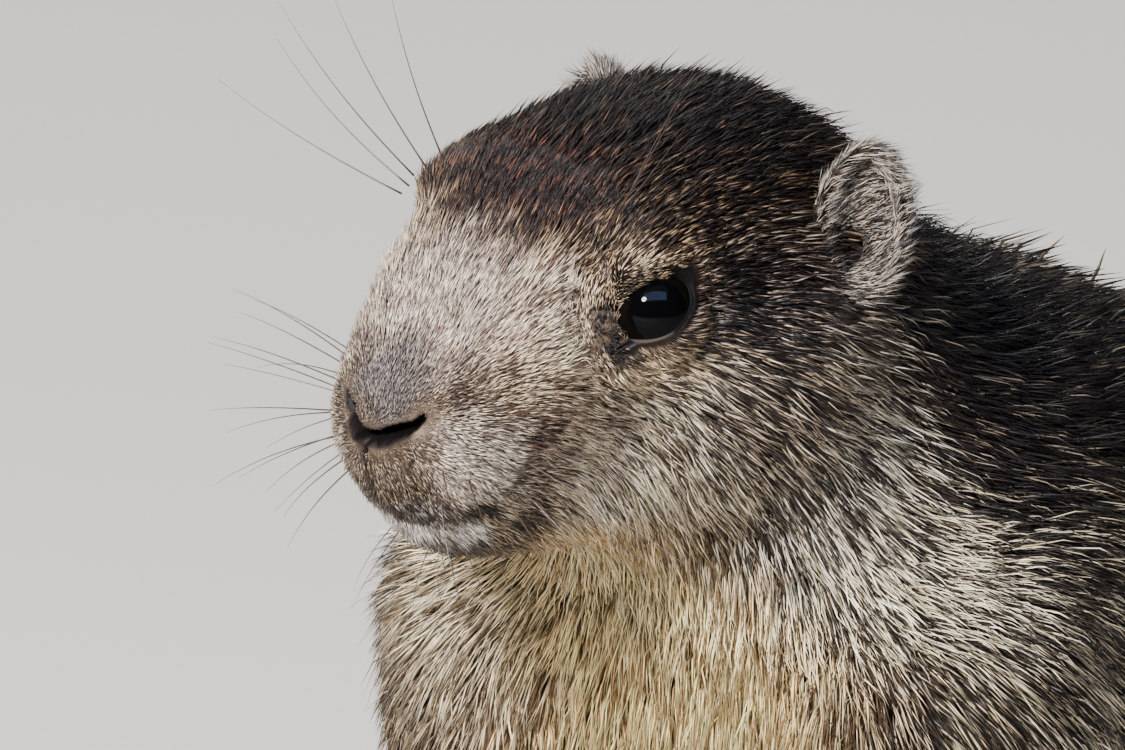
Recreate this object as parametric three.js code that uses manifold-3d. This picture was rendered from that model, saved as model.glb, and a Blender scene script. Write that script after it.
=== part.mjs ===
// A young alpine marmot, still, at life size: forelegs straight, haunches down, head up and turned right.
// Millimetres, +Z up. The animal faces -Y, its left side is +X and it rests on z = 0.
// The surface of every solid is the tips of the coat, which lies smooth over the body.
import * as THREE from "three";
import { mergeVertices } from "three/addons/utils/BufferGeometryUtils.js";
import Module from "manifold-3d";

const wasm = await Module();
wasm.setup();

// Driving dimensions
const gap = 0.3; // between two parts that touch
const noseHeight = 118; // the nose tip above the ground
const headAcross = -12; // the nose tip's place to the animal's right of the body's middle plane
const headTurn = 9; // degrees that the head turns to the animal's right
const headTilt = 1.5; // degrees that the head leans towards its left
const eyeRadius = 6.1;
const earHeight = 20;
const earWidth = 12.8;
const clawLength = { fore: 10, hind: 8.5 };
const clawRadius = { fore: 1.35, hind: 1.25 };
const stride = 6; // how much further back the left fore foot stands

const coat = {
  crown: { colour: 0x2b211c, roughness: 0.85 },
  muzzle: { colour: 0xb3a79a, roughness: 0.8 },
  throat: { colour: 0xb59f74, roughness: 0.85 },
  flank: { colour: 0x5a4c40, roughness: 0.85 },
  back: { colour: 0x29221d, roughness: 0.85 },
  leg: { colour: 0x9a8562, roughness: 0.85 },
  tail: { colour: 0x33261d, roughness: 0.85 },
  ear: { colour: 0x8d8175, roughness: 0.85 },
  nose: { colour: 0x2a1d1a, roughness: 0.5 },
  eye: { colour: 0x0c0908, roughness: 0.08 },
  claw: { colour: 0x2a2320, roughness: 0.45 },
};

// Signed distances, negative inside the flesh
const vector = (at) => new THREE.Vector3(...at);

function egg(at, radii, turn = [0, 0, 0]) {
  const back = new THREE.Matrix4()
    .compose(
      vector(at),
      new THREE.Quaternion().setFromEuler(new THREE.Euler(...turn.map(THREE.MathUtils.degToRad), "ZYX")),
      new THREE.Vector3(1, 1, 1),
    )
    .invert();
  const q = new THREE.Vector3();
  const [rx, ry, rz] = radii;
  return (p) => {
    q.copy(p).applyMatrix4(back);
    const near = Math.hypot(q.x / rx, q.y / ry, q.z / rz);
    const slope = Math.hypot(q.x / (rx * rx), q.y / (ry * ry), q.z / (rz * rz));
    return slope < 1e-9 ? -Math.min(rx, ry, rz) : (near * (near - 1)) / slope;
  };
}

function limb(from, to, startRadius, endRadius) {
  const start = vector(from);
  const along = vector(to).sub(start);
  const q = new THREE.Vector3();
  return (p) => {
    q.copy(p).sub(start);
    const share = THREE.MathUtils.clamp(q.dot(along) / along.lengthSq(), 0, 1);
    return q.addScaledVector(along, -share).length() - (startRadius + share * (endRadius - startRadius));
  };
}

const grown = (shape, by) => (p) => shape(p) - by;

function blend(softness, ...shapes) {
  return (p) => {
    let d = shapes[0](p);
    for (let i = 1; i < shapes.length; i++) {
      const e = shapes[i](p);
      const mix = Math.max(softness - Math.abs(d - e), 0) / softness;
      d = Math.min(d, e) - mix * mix * softness * 0.25;
    }
    return d;
  };
}

function scooped(softness, shape, hollow) {
  return (p) => {
    const d = shape(p);
    const e = -hollow(p);
    const mix = Math.max(softness - Math.abs(d - e), 0) / softness;
    return Math.max(d, e) + mix * mix * softness * 0.25;
  };
}

// A shape told in the head's own frame: x forward from the nose tip, y to the left, z up
const headPlace = new THREE.Matrix4()
  .makeTranslation(headAcross, 0, noseHeight)
  .multiply(new THREE.Matrix4().makeRotationZ(THREE.MathUtils.degToRad(-90 - headTurn)))
  .multiply(new THREE.Matrix4().makeRotationX(THREE.MathUtils.degToRad(-headTilt)));

function placed(shape, place) {
  const back = place.clone().invert();
  const q = new THREE.Vector3();
  return (p) => shape(q.copy(p).applyMatrix4(back));
}

const sides = { left: 1, right: -1 };
const pair = (make) => [make(1), make(-1)];

// The head
const earAt = { forward: -63.3, out: 26.2, up: 22.1 };
const eyeAt = { forward: -33.6, out: 18.2, up: 14.3 };
const skull = blend(
  9,
  egg([-51, 0, 17], [27, 25, 21.3]),
  ...pair((s) => egg([-33.5, s * 13.5, 18.6], [13.5, 12, 12])),
  ...pair((s) => egg([-54, s * 14.5, 3], [20, 15.5, 19])),
  egg([-30, 0, 15], [17, 15, 12.5], [0, 14, 0]),
  ...pair((s) => egg([-22, s * 8.4, 7.6], [15.5, 10.6, 10.4], [0, 10, 0])),
);
const muzzle = blend(
  5,
  ...pair((s) => egg([-11.4, s * 6.2, 1.6], [11.4, 8.6, 8.3])),
  ...pair((s) => egg([-12.2, s * 6.8, -5.2], [11, 8.3, 7.6])),
  egg([-24, 0, 0], [16, 14.5, 13]),
);
const jaw = blend(
  6,
  egg([-16.4, 0, -12.8], [12, 10.2, 8.4], [0, -8, 0]),
  egg([-32, 0, -11.5], [18.5, 14, 10.6]),
);
const orbits = blend(1, ...pair((s) => egg([-31.5, s * 30, 13.6], [11.5, 9.4, 8])));
const headShape = scooped(3, blend(5, skull, muzzle, jaw), orbits);

// An ear is a shallow oval dish, open forwards and outwards; the room that it is set in has no hollow
function earGeometry(side, grow = 0) {
  const thick = 2;
  const cup = 3.2;
  const behind = [
    [0, -thick - grow],
    [0.62, -thick * 0.7 - grow],
    [0.93, cup * 0.35 - grow],
    [1, cup * 0.8],
  ];
  const front = grow
    ? [
        [0.9, cup + grow],
        [0, cup + grow],
      ]
    : [
        [0.84, cup * 0.72],
        [0.5, -0.1],
        [0, -0.6],
      ];
  const profile = [...behind, ...front].map(([share, depth]) => new THREE.Vector2(share, depth));
  const dish = new THREE.LatheGeometry(profile, 14);
  dish.scale(earWidth / 2 + grow, 1, earHeight / 2 + 1 + grow);
  const look = new THREE.Vector3(0.84, side * 0.5, 0.16).normalize();
  const across = new THREE.Vector3().crossVectors(look, new THREE.Vector3(-0.12, 0, 1)).normalize();
  const upright = new THREE.Vector3().crossVectors(across, look);
  dish.applyMatrix4(new THREE.Matrix4().makeBasis(across, look, upright));
  dish.translate(earAt.forward, side * earAt.out, earAt.up);
  return dish.applyMatrix4(headPlace);
}

// The body, in its own frame
const torso = blend(
  16,
  egg([0, 92, 73], [42, 40, 42]),
  egg([0, 118, 81.5], [40, 37, 35]),
  egg([0, 152, 55.5], [56, 48, 45], [-22, 0, 0]),
  egg([0, 204, 49], [57, 50, 45], [-26, 0, 0]),
);
const neckShape = limb([-5, 64, 118], [0, 92, 88], 29, 38);
const stepBack = (s) => (s > 0 ? stride : 0);
const arm = (s) =>
  blend(
    6,
    limb([s * 35, 63, 73], [s * 38.5, 68 + stepBack(s) / 2, 42], 21.6, 18.3),
    limb([s * 38, 69 + stepBack(s) / 2, 42], [s * 33, 58 + stepBack(s), 11], 16, 9.5),
  );
const thigh = (s) =>
  blend(
    8,
    egg([s * 44, 188, 39], [22, 44, 35], [-18, 0, s * -6]),
    limb([s * 50, 164, 24], [s * 48, 206, 14], 13, 10),
  );

const tailLine = [
  [0, 244, 30, 21],
  [2, 276, 17, 15.5],
  [14, 312, 13, 16.5],
  [32, 344, 13, 14.5],
  [46, 362, 11, 8],
];

const fleshOfTail = blend(
  10,
  ...tailLine.slice(1).map(([x, y, z, r], i) => {
    const [x0, y0, z0, r0] = tailLine[i];
    return limb([x0, y0, z0], [x, y, z], r0, r);
  }),
);

const body = blend(
  12,
  blend(14, placed(headShape, headPlace), neckShape),
  torso,
  ...pair(arm),
  ...pair(thigh),
  fleshOfTail,
);

// Feet: a pad with its toes, the fore foot with four and the hind foot with five
const wristHeight = 12.5;
const heelHeight = 15.5;
const footPlan = {
  fore: {
    toes: 4,
    heel: [31, 60, 8],
    ball: [31, 46, 6.4],
    reach: 15,
    fan: 34,
    ballRadius: 7.6,
    toeRadius: 3.7,
    top: wristHeight,
    cell: [4.1, 7.4, 5],
    back: stepBack,
  },
  hind: {
    toes: 5,
    heel: [48, 212, 8.5],
    ball: [50, 158, 6.8],
    reach: 17,
    fan: 40,
    ballRadius: 8.6,
    toeRadius: 4,
    top: heelHeight,
    cell: [4.8, 10, 6],
    back: () => 0,
  },
};

function toesOf(plan, s) {
  const { toes, ball, reach, fan, toeRadius } = plan;
  return Array.from({ length: toes }, (_, i) => {
    const spread = i / (toes - 1) - 0.5;
    const swing = THREE.MathUtils.degToRad(spread * fan);
    const length = reach * (1 - 0.5 * spread * spread);
    const root = [s * (ball[0] + spread * ball[2] * 2), ball[1] + plan.back(s), ball[2] - 1];
    const tip = [root[0] + s * Math.sin(swing) * length, root[1] - Math.cos(swing) * length, toeRadius - 0.9];
    return { root, tip, swing: s * swing };
  });
}

function footShape(plan, s) {
  const mirrored = ([x, y, z]) => [s * x, y + plan.back(s), z];
  return blend(
    4,
    limb(mirrored(plan.heel), mirrored(plan.ball), plan.ballRadius + 0.6, plan.ballRadius),
    ...toesOf(plan, s).map(({ root, tip }) => limb(root, tip, plan.toeRadius + 0.6, plan.toeRadius)),
  );
}

const footBox = (plan, s) => {
  const xs = [plan.heel[0] - 16, plan.ball[0] + 22].map((x) => s * x).sort((a, b) => a - b);
  return [
    [xs[0], plan.ball[1] - plan.reach - 12, -10],
    [xs[1], plan.heel[1] + 22, 26],
  ];
};
const footSolid = (plan, s, swelling) =>
  solidOf(surfaceOf(footShape(plan, s), ...footBox(plan, s), plan.cell, swelling));

// The surface of a shape inside a box: one point for each cell that it crosses, drawn onto the true surface
// and then out by the swelling
function surfaceOf(shape, low, high, cell, swelling = 0) {
  const [nx, ny, nz] = low.map((v, i) => Math.ceil((high[i] - v) / cell[i]) + 1);
  const at = (i, j, k) => (k * ny + j) * nx + i;
  const value = new Float64Array(nx * ny * nz);
  const p = new THREE.Vector3();
  for (let k = 0; k < nz; k++)
    for (let j = 0; j < ny; j++)
      for (let i = 0; i < nx; i++) {
        const edge = i === 0 || j === 0 || k === 0 || i === nx - 1 || j === ny - 1 || k === nz - 1;
        const d = shape(p.set(low[0] + i * cell[0], low[1] + j * cell[1], low[2] + k * cell[2]));
        value[at(i, j, k)] = edge ? Math.max(d, cell[0] * 0.01) : d;
      }
  const points = [];
  const pointOf = new Int32Array(nx * ny * nz).fill(-1);
  for (let k = 0; k < nz - 1; k++)
    for (let j = 0; j < ny - 1; j++)
      for (let i = 0; i < nx - 1; i++) {
        const middle = crossingPoint((corner) => value[at(i + corner[0], j + corner[1], k + corner[2])]);
        if (!middle) continue;
        pointOf[at(i, j, k)] = points.length;
        points.push(new THREE.Vector3(...[i, j, k].map((n, c) => low[c] + (n + middle[c]) * cell[c])));
      }
  const inside = new THREE.Box3(vector(low), vector(high)).expandByVector(vector(cell).multiplyScalar(-1.5));
  for (const point of points) {
    drawOnto(shape, point, inside, Math.min(...cell) / 3);
    point.addScaledVector(slopeAt(shape, point).normalize(), swelling);
  }
  const faces = [];
  const quad = (a, b, c, d, flip) => {
    const across = points[a].distanceTo(points[c]) < points[b].distanceTo(points[d]);
    const split = across ? [[a, b, c], [a, c, d]] : [[a, b, d], [b, c, d]];
    for (const [x, y, z] of split) faces.push(...(flip ? [x, z, y] : [x, y, z]));
  };
  for (let k = 0; k < nz - 1; k++)
    for (let j = 0; j < ny - 1; j++)
      for (let i = 0; i < nx - 1; i++) {
        const here = value[at(i, j, k)] < 0;
        const cellAt = (a, b, c) => pointOf[at(i - a, j - b, k - c)];
        if (j && k && here !== value[at(i + 1, j, k)] < 0)
          quad(cellAt(0, 0, 0), cellAt(0, 1, 0), cellAt(0, 1, 1), cellAt(0, 0, 1), !here);
        if (i && k && here !== value[at(i, j + 1, k)] < 0)
          quad(cellAt(0, 0, 0), cellAt(0, 0, 1), cellAt(1, 0, 1), cellAt(1, 0, 0), !here);
        if (i && j && here !== value[at(i, j, k + 1)] < 0)
          quad(cellAt(0, 0, 0), cellAt(1, 0, 0), cellAt(1, 1, 0), cellAt(0, 1, 0), !here);
      }
  return new THREE.BufferGeometry().setFromPoints(points).setIndex(faces);
}

const corners = [0, 1, 2, 3, 4, 5, 6, 7].map((c) => [c & 1, (c >> 1) & 1, (c >> 2) & 1]);
const cellEdges = corners.flatMap((a, m) => corners.slice(m + 1).map((b) => [a, b])).filter(([a, b]) => {
  const apart = a.map((v, c) => Math.abs(v - b[c]));
  return apart[0] + apart[1] + apart[2] === 1;
});

function crossingPoint(valueAt) {
  const sum = [0, 0, 0];
  let crossings = 0;
  for (const [a, b] of cellEdges) {
    const u = valueAt(a);
    const v = valueAt(b);
    if (u < 0 === v < 0) continue;
    const share = u / (u - v);
    sum.forEach((_, c) => (sum[c] += a[c] + share * (b[c] - a[c])));
    crossings++;
  }
  return crossings ? sum.map((v) => v / crossings) : null;
}

function slopeAt(shape, point) {
  const step = 0.05;
  const d = shape(point);
  const ahead = (c) => shape(point.clone().setComponent(c, point.getComponent(c) + step));
  return vector([0, 1, 2].map((c) => (ahead(c) - d) / step));
}

function drawOnto(shape, point, inside, farthest) {
  for (let turn = 0; turn < 3 && inside.containsPoint(point); turn++) {
    const slope = slopeAt(shape, point);
    const move = THREE.MathUtils.clamp(shape(point) / Math.max(slope.lengthSq(), 0.2), -farthest, farthest);
    point.addScaledVector(slope, -move);
  }
}

function solidOf(geometry) {
  const bare = geometry.clone();
  bare.deleteAttribute("normal");
  bare.deleteAttribute("uv");
  const merged = mergeVertices(bare, 1e-4);
  return new wasm.Manifold(
    new wasm.Mesh({
      numProp: 3,
      vertProperties: merged.attributes.position.array,
      triVerts: new Uint32Array(merged.index.array),
    }),
  );
}

function geometryOf(solid) {
  const mesh = solid.getMesh();
  const positions = new Float32Array(mesh.numVert * 3);
  for (let i = 0; i < mesh.numVert; i++)
    positions.set(mesh.vertProperties.subarray(i * mesh.numProp, i * mesh.numProp + 3), i * 3);
  const geometry = new THREE.BufferGeometry();
  geometry.setAttribute("position", new THREE.BufferAttribute(positions, 3));
  geometry.setIndex(new THREE.BufferAttribute(mesh.triVerts, 1));
  geometry.computeVertexNormals();
  return geometry;
}

// All that lies on one side of a plane, and all of a tilted block
function beyond(at, facing, back = gap / 2) {
  const size = 1000;
  const towards = vector(facing).normalize();
  const block = new THREE.BoxGeometry(size, size, size).applyMatrix4(
    new THREE.Matrix4().compose(
      vector(at).addScaledVector(towards, size / 2 + back),
      new THREE.Quaternion().setFromUnitVectors(new THREE.Vector3(0, 0, 1), towards),
      new THREE.Vector3(1, 1, 1),
    ),
  );
  return solidOf(block);
}

function block(low, high, grow = 0) {
  const size = low.map((v, i) => high[i] - v + 2 * grow);
  const middle = low.map((v, i) => (v + high[i]) / 2);
  return solidOf(new THREE.BoxGeometry(...size).translate(...middle));
}

const ground = beyond([0, 0, 0], [0, 0, 1], 0);
const opposite = ([x, y, z]) => [-x, -y, -z];
const keep = (solid, ...cutters) => cutters.reduce((kept, cutter) => kept.intersect(cutter), solid);
const remove = (solid, ...cutters) => cutters.reduce((kept, cutter) => kept.subtract(cutter), solid);
const largest = (solid) => solid.decompose().sort((a, b) => b.volume() - a.volume())[0];

// Where the body is parted: a point on each cut, and the way from the trunk outwards
const headBack = vector([-64, 0, 10]).applyMatrix4(headPlace).toArray();
const cuts = {
  neck: { at: headBack, facing: [-0.16, -0.86, 0.48] },
  chest: { at: [0, 84, 96], facing: [-0.04, -0.62, 0.78] },
  belly: { at: [0, 138, 70], facing: [0, -0.94, 0.34] },
  rump: { at: [0, 186, 58], facing: [0, -0.97, 0.24] },
  tail: { at: [0, 256, 26], facing: [0, 0.9, -0.44] },
  tailMiddle: { at: [12, 312, 14], facing: [0.42, 0.9, 0] },
};
const outer = (name) => beyond(cuts[name].at, cuts[name].facing);
const inner = (name) => beyond(cuts[name].at, opposite(cuts[name].facing));

const elbow = { at: [0, 66, 41], facing: [0, 0.25, -1] };

// Room for a leg: the leg's own shape made a little larger
const legDepth = 2;
const armBox = (s) => [
  [Math.min(s * 2, s * 74), 24, -2],
  [Math.max(s * 2, s * 74), 108, 112],
];
const thighBox = (s) => [
  [Math.min(s * 10, s * 96), 128, -12],
  [Math.max(s * 10, s * 96), 250, 92],
];
const armRoom = (s, grow) => solidOf(surfaceOf(grown(arm(s), legDepth), ...armBox(s), [12, 13, 16], grow));
const haunch = (s) => egg([s * 62, 188, 36], [28, 42, 33], [-16, 0, 0]);
const thighRoom = (s, grow) => solidOf(surfaceOf(haunch(s), ...thighBox(s), cube(14), grow));
const over = (height, back = gap / 2) => beyond([0, 0, height], [0, 0, 1], back);
const under = (height, back = gap / 2) => beyond([0, 0, height], [0, 0, -1], back);

const marmot = new THREE.Group();

function addPart(name, solidOrGeometry, look) {
  const geometry = solidOrGeometry.isBufferGeometry ? solidOrGeometry : geometryOf(largest(solidOrGeometry));
  const { colour, roughness } = coat[look];
  const material = new THREE.MeshStandardMaterial({ color: colour, roughness, metalness: 0 });
  const mesh = new THREE.Mesh(geometry, material);
  mesh.name = name;
  marmot.add(mesh);
}

const cube = (size) => [size, size, size];
const bodyAt = (low, high, cell) => keep(solidOf(surfaceOf(body, low, high, cell)), ground);

// Eyes: a ball with a slightly raised cornea
function eyeGeometry(side) {
  const ball = new THREE.SphereGeometry(eyeRadius, 12, 8);
  const look = new THREE.Vector3(0.46, side * 0.84, 0.28).normalize();
  const turned = new THREE.Quaternion().setFromUnitVectors(new THREE.Vector3(0, 1, 0), look);
  ball.applyQuaternion(turned);
  ball.translate(eyeAt.forward, side * eyeAt.out, eyeAt.up);
  return ball.applyMatrix4(headPlace);
}

const eyeSolids = Object.fromEntries(Object.entries(sides).map(([name, s]) => [name, eyeGeometry(s)]));
const sockets = Object.values(sides).map((s) => {
  const socket = new THREE.SphereGeometry(eyeRadius + 2 * gap, 12, 8);
  socket.translate(eyeAt.forward, s * eyeAt.out, eyeAt.up);
  return solidOf(socket.applyMatrix4(headPlace));
});

// Nose: a small pad with two slit nostrils, told in the head's frame
const nosePad = scooped(
  0.8,
  blend(2, egg([-2.6, 0, -0.6], [3.4, 4.4, 4]), ...pair((s) => egg([-4, s * 4.2, 0.2], [3.4, 3.6, 3]))),
  blend(0.6, ...pair((s) => limb([-0.4, s * 2.2, -1.6], [-2.6, s * 8, 1], 0.95, 0.8))),
);
const noseShape = placed(nosePad, headPlace);
const aroundHead = { low: [-62, -12, noseHeight - 33], high: [46, 92, noseHeight + 51] };
const noseBox = [
  [-28, -8, noseHeight - 13],
  [6, 18, noseHeight + 13],
];
const noseSolid = solidOf(surfaceOf(noseShape, ...noseBox, cube(2.2)));
const noseRoom = solidOf(surfaceOf(noseShape, ...noseBox, cube(2.2), gap));

const earRooms = Object.values(sides).map((s) => solidOf(earGeometry(s, 2 * gap)));

// The head is parted into its face, its lower jaw and its cranium
const inHead = (at) => vector(at).applyMatrix4(headPlace).toArray();
const alongHead = (way) => vector(way).transformDirection(headPlace).toArray();
const mouthCut = { at: inHead([-16, 0, -8.4]), facing: alongHead([-0.1, 0, -1]) };
const mouthBack = { at: inHead([-31, 0, -10]), facing: alongHead([0.96, 0, -0.28]) };
const faceCut = { at: inHead([-42, 0, 10]), facing: alongHead([1, 0, 0.1]) };
const below = (cut, back) => beyond(cut.at, cut.facing, back);
const above = (cut, back) => beyond(cut.at, opposite(cut.facing), back);

const jawRoom = keep(below(mouthCut, -gap / 2), below(mouthBack, -gap / 2));
const wholeHead = bodyAt(aroundHead.low, aroundHead.high, cube(6));
const wholeHeadCoarse = bodyAt(aroundHead.low, aroundHead.high, cube(8));
const face = keep(wholeHead, outer("neck"), below(faceCut));
const lowerJaw = keep(wholeHead, outer("neck"), below(mouthCut), below(mouthBack));
const cranium = keep(wholeHeadCoarse, outer("neck"), above(faceCut));
addPart("muzzle_and_brow", remove(face, jawRoom, noseRoom, ...sockets), "muzzle");
addPart("lower_jaw", remove(lowerJaw, noseRoom), "muzzle");
addPart("cranium", remove(cranium, jawRoom, ...earRooms), "crown");
addPart("nose", noseSolid, "nose");
for (const name of Object.keys(sides)) {
  addPart(`ear_${name}`, solidOf(earGeometry(sides[name])), "ear");
  addPart(`eye_${name}`, eyeSolids[name], "eye");
}

// The trunk and what it carries
const coarse = bodyAt([-78, -12, -12], [78, 284, 182], [17, 23, 16]);
const footRooms = Object.values(footPlan).flatMap((plan) =>
  pair((s) => keep(footSolid(plan, s, gap), under(plan.top, -gap / 2))),
);
const legRooms = [...pair((s) => armRoom(s, gap)), ...pair((s) => thighRoom(s, gap)), ...footRooms];
const neckSolid = bodyAt([-70, 20, 40], [70, 150, 172], [12, 13, 13]);
addPart("neck", remove(keep(neckSolid, inner("neck"), outer("chest")), ...earRooms, ...legRooms), "throat");
addPart("chest", remove(keep(coarse, inner("chest"), outer("belly")), ...legRooms), "throat");
addPart("trunk", remove(keep(coarse, inner("belly"), outer("rump")), ...legRooms), "flank");
addPart("rump", remove(keep(coarse, inner("rump"), inner("tail")), ...legRooms), "back");

const tailSolid = bodyAt([-34, 236, -8], [66, 384, 62], [10, 14, 9]);
addPart("tail_base", keep(tailSolid, outer("tail"), inner("tailMiddle")), "tail");
addPart("tail_tip", keep(tailSolid, outer("tail"), outer("tailMiddle")), "tail");

for (const [name, s] of Object.entries(sides)) {
  const wholeArm = keep(bodyAt(...armBox(s), [10.5, 11, 14]), armRoom(s, 0), over(wristHeight));
  addPart(`upper_arm_${name}`, keep(wholeArm, beyond(elbow.at, opposite(elbow.facing))), "throat");
  addPart(`forearm_${name}`, keep(wholeArm, beyond(elbow.at, elbow.facing)), "leg");
  const haunchFlesh = bodyAt(...thighBox(s), [13, 15, 13]);
  addPart(`thigh_${name}`, keep(haunchFlesh, thighRoom(s, 0), over(heelHeight)), "flank");
}

// Feet and claws
const footNames = { fore: "forefoot", hind: "hind_foot" };

function clawGeometry(length, radius, droop) {
  const rings = 3;
  const profile = Array.from({ length: rings }, (_, i) => {
    const share = i / rings;
    return new THREE.Vector2(radius * Math.sqrt(1 - share ** 1.6), share * length);
  });
  const flats = 5;
  const outline = [new THREE.Vector2(0, 0), ...profile, new THREE.Vector2(0, length)];
  const claw = new THREE.LatheGeometry(outline, flats);
  const p = claw.attributes.position;
  for (let i = 0; i < p.count; i++) {
    const share = p.getY(i) / length;
    p.setXYZ(i, p.getX(i) * 0.8, p.getY(i), p.getZ(i) - droop * share * share);
  }
  return claw;
}

function clawPlaces(plan, s) {
  return toesOf(plan, s).map(({ tip, swing }) => {
    const out = new THREE.Vector3(Math.sin(swing), -Math.cos(swing), 0);
    const up = new THREE.Vector3(0, 0, 1);
    const place = new THREE.Matrix4().makeBasis(new THREE.Vector3().crossVectors(out, up), out, up);
    const start = vector(tip).addScaledVector(out, plan.toeRadius - 2.4);
    return place.setPosition(start.x, start.y, plan.toeRadius + 0.3);
  });
}

for (const [kind, plan] of Object.entries(footPlan))
  for (const [name, s] of Object.entries(sides)) {
    const droop = plan.toeRadius - 1.2;
    const claws = (grow) =>
      clawPlaces(plan, s).map((place) =>
        solidOf(clawGeometry(clawLength[kind], clawRadius[kind] + grow, droop).applyMatrix4(place)),
      );
    const foot = keep(footSolid(plan, s, 0), ground, under(plan.top));
    addPart(`${footNames[kind]}_${name}`, remove(foot, ...claws(gap)), "leg");
    claws(0).forEach((claw, i) => addPart(`claw_${kind}_${name}_${i + 1}`, claw, "claw"));
  }

// The origin is on the ground, under the middle of the whole animal's box
const bounds = new THREE.Box3().setFromObject(marmot);
const middle = bounds.getCenter(new THREE.Vector3());
marmot.position.set(-middle.x, -middle.y, -bounds.min.z);

export default marmot;
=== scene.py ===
import math
import bpy
import bmesh
import numpy as np
from mathutils import Matrix, Vector
from mathutils.kdtree import KDTree


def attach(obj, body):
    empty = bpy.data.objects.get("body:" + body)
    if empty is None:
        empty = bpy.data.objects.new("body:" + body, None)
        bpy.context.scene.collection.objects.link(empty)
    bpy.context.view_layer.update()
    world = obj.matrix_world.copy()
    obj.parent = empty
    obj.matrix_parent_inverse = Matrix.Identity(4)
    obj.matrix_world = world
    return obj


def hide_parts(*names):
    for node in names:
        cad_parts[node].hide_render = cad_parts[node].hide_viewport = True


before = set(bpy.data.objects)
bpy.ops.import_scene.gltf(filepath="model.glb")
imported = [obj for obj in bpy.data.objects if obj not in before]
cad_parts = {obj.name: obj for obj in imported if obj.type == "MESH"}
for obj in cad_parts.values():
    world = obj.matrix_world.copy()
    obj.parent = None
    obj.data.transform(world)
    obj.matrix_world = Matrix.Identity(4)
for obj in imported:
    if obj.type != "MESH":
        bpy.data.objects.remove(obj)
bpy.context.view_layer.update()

rng = np.random.default_rng(1208)
mm = 0.001

# where the head sits in the room: nose tip in metres, turn and lean in degrees
headPose = {"noseTip": (-0.012, -0.181708, 0.118), "turn": -99, "lean": -1.5}
headTurn = np.array(
    Matrix.Rotation(math.radians(headPose["turn"]), 3, "Z")
    @ Matrix.Rotation(math.radians(headPose["lean"]), 3, "X")
)
noseTip = np.array(headPose["noseTip"])


def toHead(points):  # millimetres forward, left and up from the nose tip
    return (points - noseTip) @ headTurn / mm


def fromHead(points):
    return np.asarray(points, float) * mm @ headTurn.T + noseTip


def toBody(points):  # millimetres, with y measured back from the nose tip
    return points / mm - np.array([0, noseTip[1] / mm, 0])


def fromBody(points):
    return (np.asarray(points, float) + np.array([0, noseTip[1] / mm, 0])) * mm


def unit(vectors):
    vectors = np.asarray(vectors, float)
    return vectors / (np.linalg.norm(vectors, axis=-1, keepdims=True) + 1e-12)


def smoothStep(low, high, value):
    t = np.clip((value - low) / (high - low), 0, 1)
    return t * t * (3 - 2 * t)


def waves(points, size, seed):  # a soft wandering value from -1 to 1, size in metres
    draw = np.random.default_rng(seed)
    turns = unit(draw.normal(size=(7, 3))) * draw.uniform(0.7, 1.6, (7, 1)) * 6.28 / size
    starts = draw.uniform(0, 6.28, 7)
    return np.sin(points @ turns.T + starts).sum(1) / 3.2


def wander(points, size, seed):  # a soft wandering direction, size in millimetres
    return np.stack([waves(points, size * mm, seed + k) for k in range(3)], 1)


def linear(colour):  # a 0 to 255 screen colour as the linear one that nodes use
    c = np.asarray(colour, float) / 255
    return np.where(c <= 0.04045, c / 12.92, ((c + 0.055) / 1.055) ** 2.4)


def deselectAll():
    if bpy.context.mode != "OBJECT":
        bpy.ops.object.mode_set(mode="OBJECT")
    bpy.ops.object.select_all(action="DESELECT")


def makeActive(piece):
    deselectAll()
    piece.select_set(True)
    bpy.context.view_layer.objects.active = piece


def newMesh(name, points, triangles):
    mesh = bpy.data.meshes.new(name)
    mesh.vertices.add(len(points))
    mesh.vertices.foreach_set("co", np.asarray(points, np.float32).ravel())
    mesh.loops.add(len(triangles) * 3)
    mesh.loops.foreach_set("vertex_index", np.asarray(triangles, np.int32).ravel())
    mesh.polygons.add(len(triangles))
    mesh.polygons.foreach_set("loop_start", np.arange(0, len(triangles) * 3, 3, dtype=np.int32))
    mesh.polygons.foreach_set("use_smooth", np.ones(len(triangles), bool))
    mesh.update(calc_edges=True)
    piece = bpy.data.objects.new(name, mesh)
    bpy.context.scene.collection.objects.link(piece)
    return piece


def pointsOf(mesh):
    flat = np.empty(len(mesh.vertices) * 3, np.float32)
    mesh.vertices.foreach_get("co", flat)
    return flat.reshape(-1, 3).astype(float)


def normalsOf(mesh):
    flat = np.empty(len(mesh.vertices) * 3, np.float32)
    mesh.vertex_normals.foreach_get("vector", flat)
    return flat.reshape(-1, 3).astype(float)


def setPoints(mesh, points):
    mesh.vertices.foreach_set("co", np.asarray(points, np.float32).ravel())
    mesh.update()


def paint(mesh, name, values, kind="FLOAT"):
    layer = mesh.attributes.new(name, kind, "POINT")
    values = np.asarray(values, np.float32)
    if kind == "FLOAT_COLOR":
        values = np.concatenate([values, np.ones((len(values), 1), np.float32)], 1)
        layer.data.foreach_set("color", values.ravel())
    else:
        layer.data.foreach_set("value", values)


def valuesOf(mesh, name):
    values = np.empty(len(mesh.vertices), np.float32)
    mesh.attributes[name].data.foreach_get("value", values)
    return values


def joinPieces(pieces):
    deselectAll()
    for piece in pieces:
        piece.select_set(True)
    bpy.context.view_layer.objects.active = pieces[0]
    bpy.ops.object.join()
    return bpy.context.view_layer.objects.active


def turnOutwards(piece):
    makeActive(piece)
    bpy.ops.object.mode_set(mode="EDIT")
    bpy.ops.mesh.select_all(action="SELECT")
    bpy.ops.mesh.normals_make_consistent(inside=False)
    bpy.ops.object.mode_set(mode="OBJECT")


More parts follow.
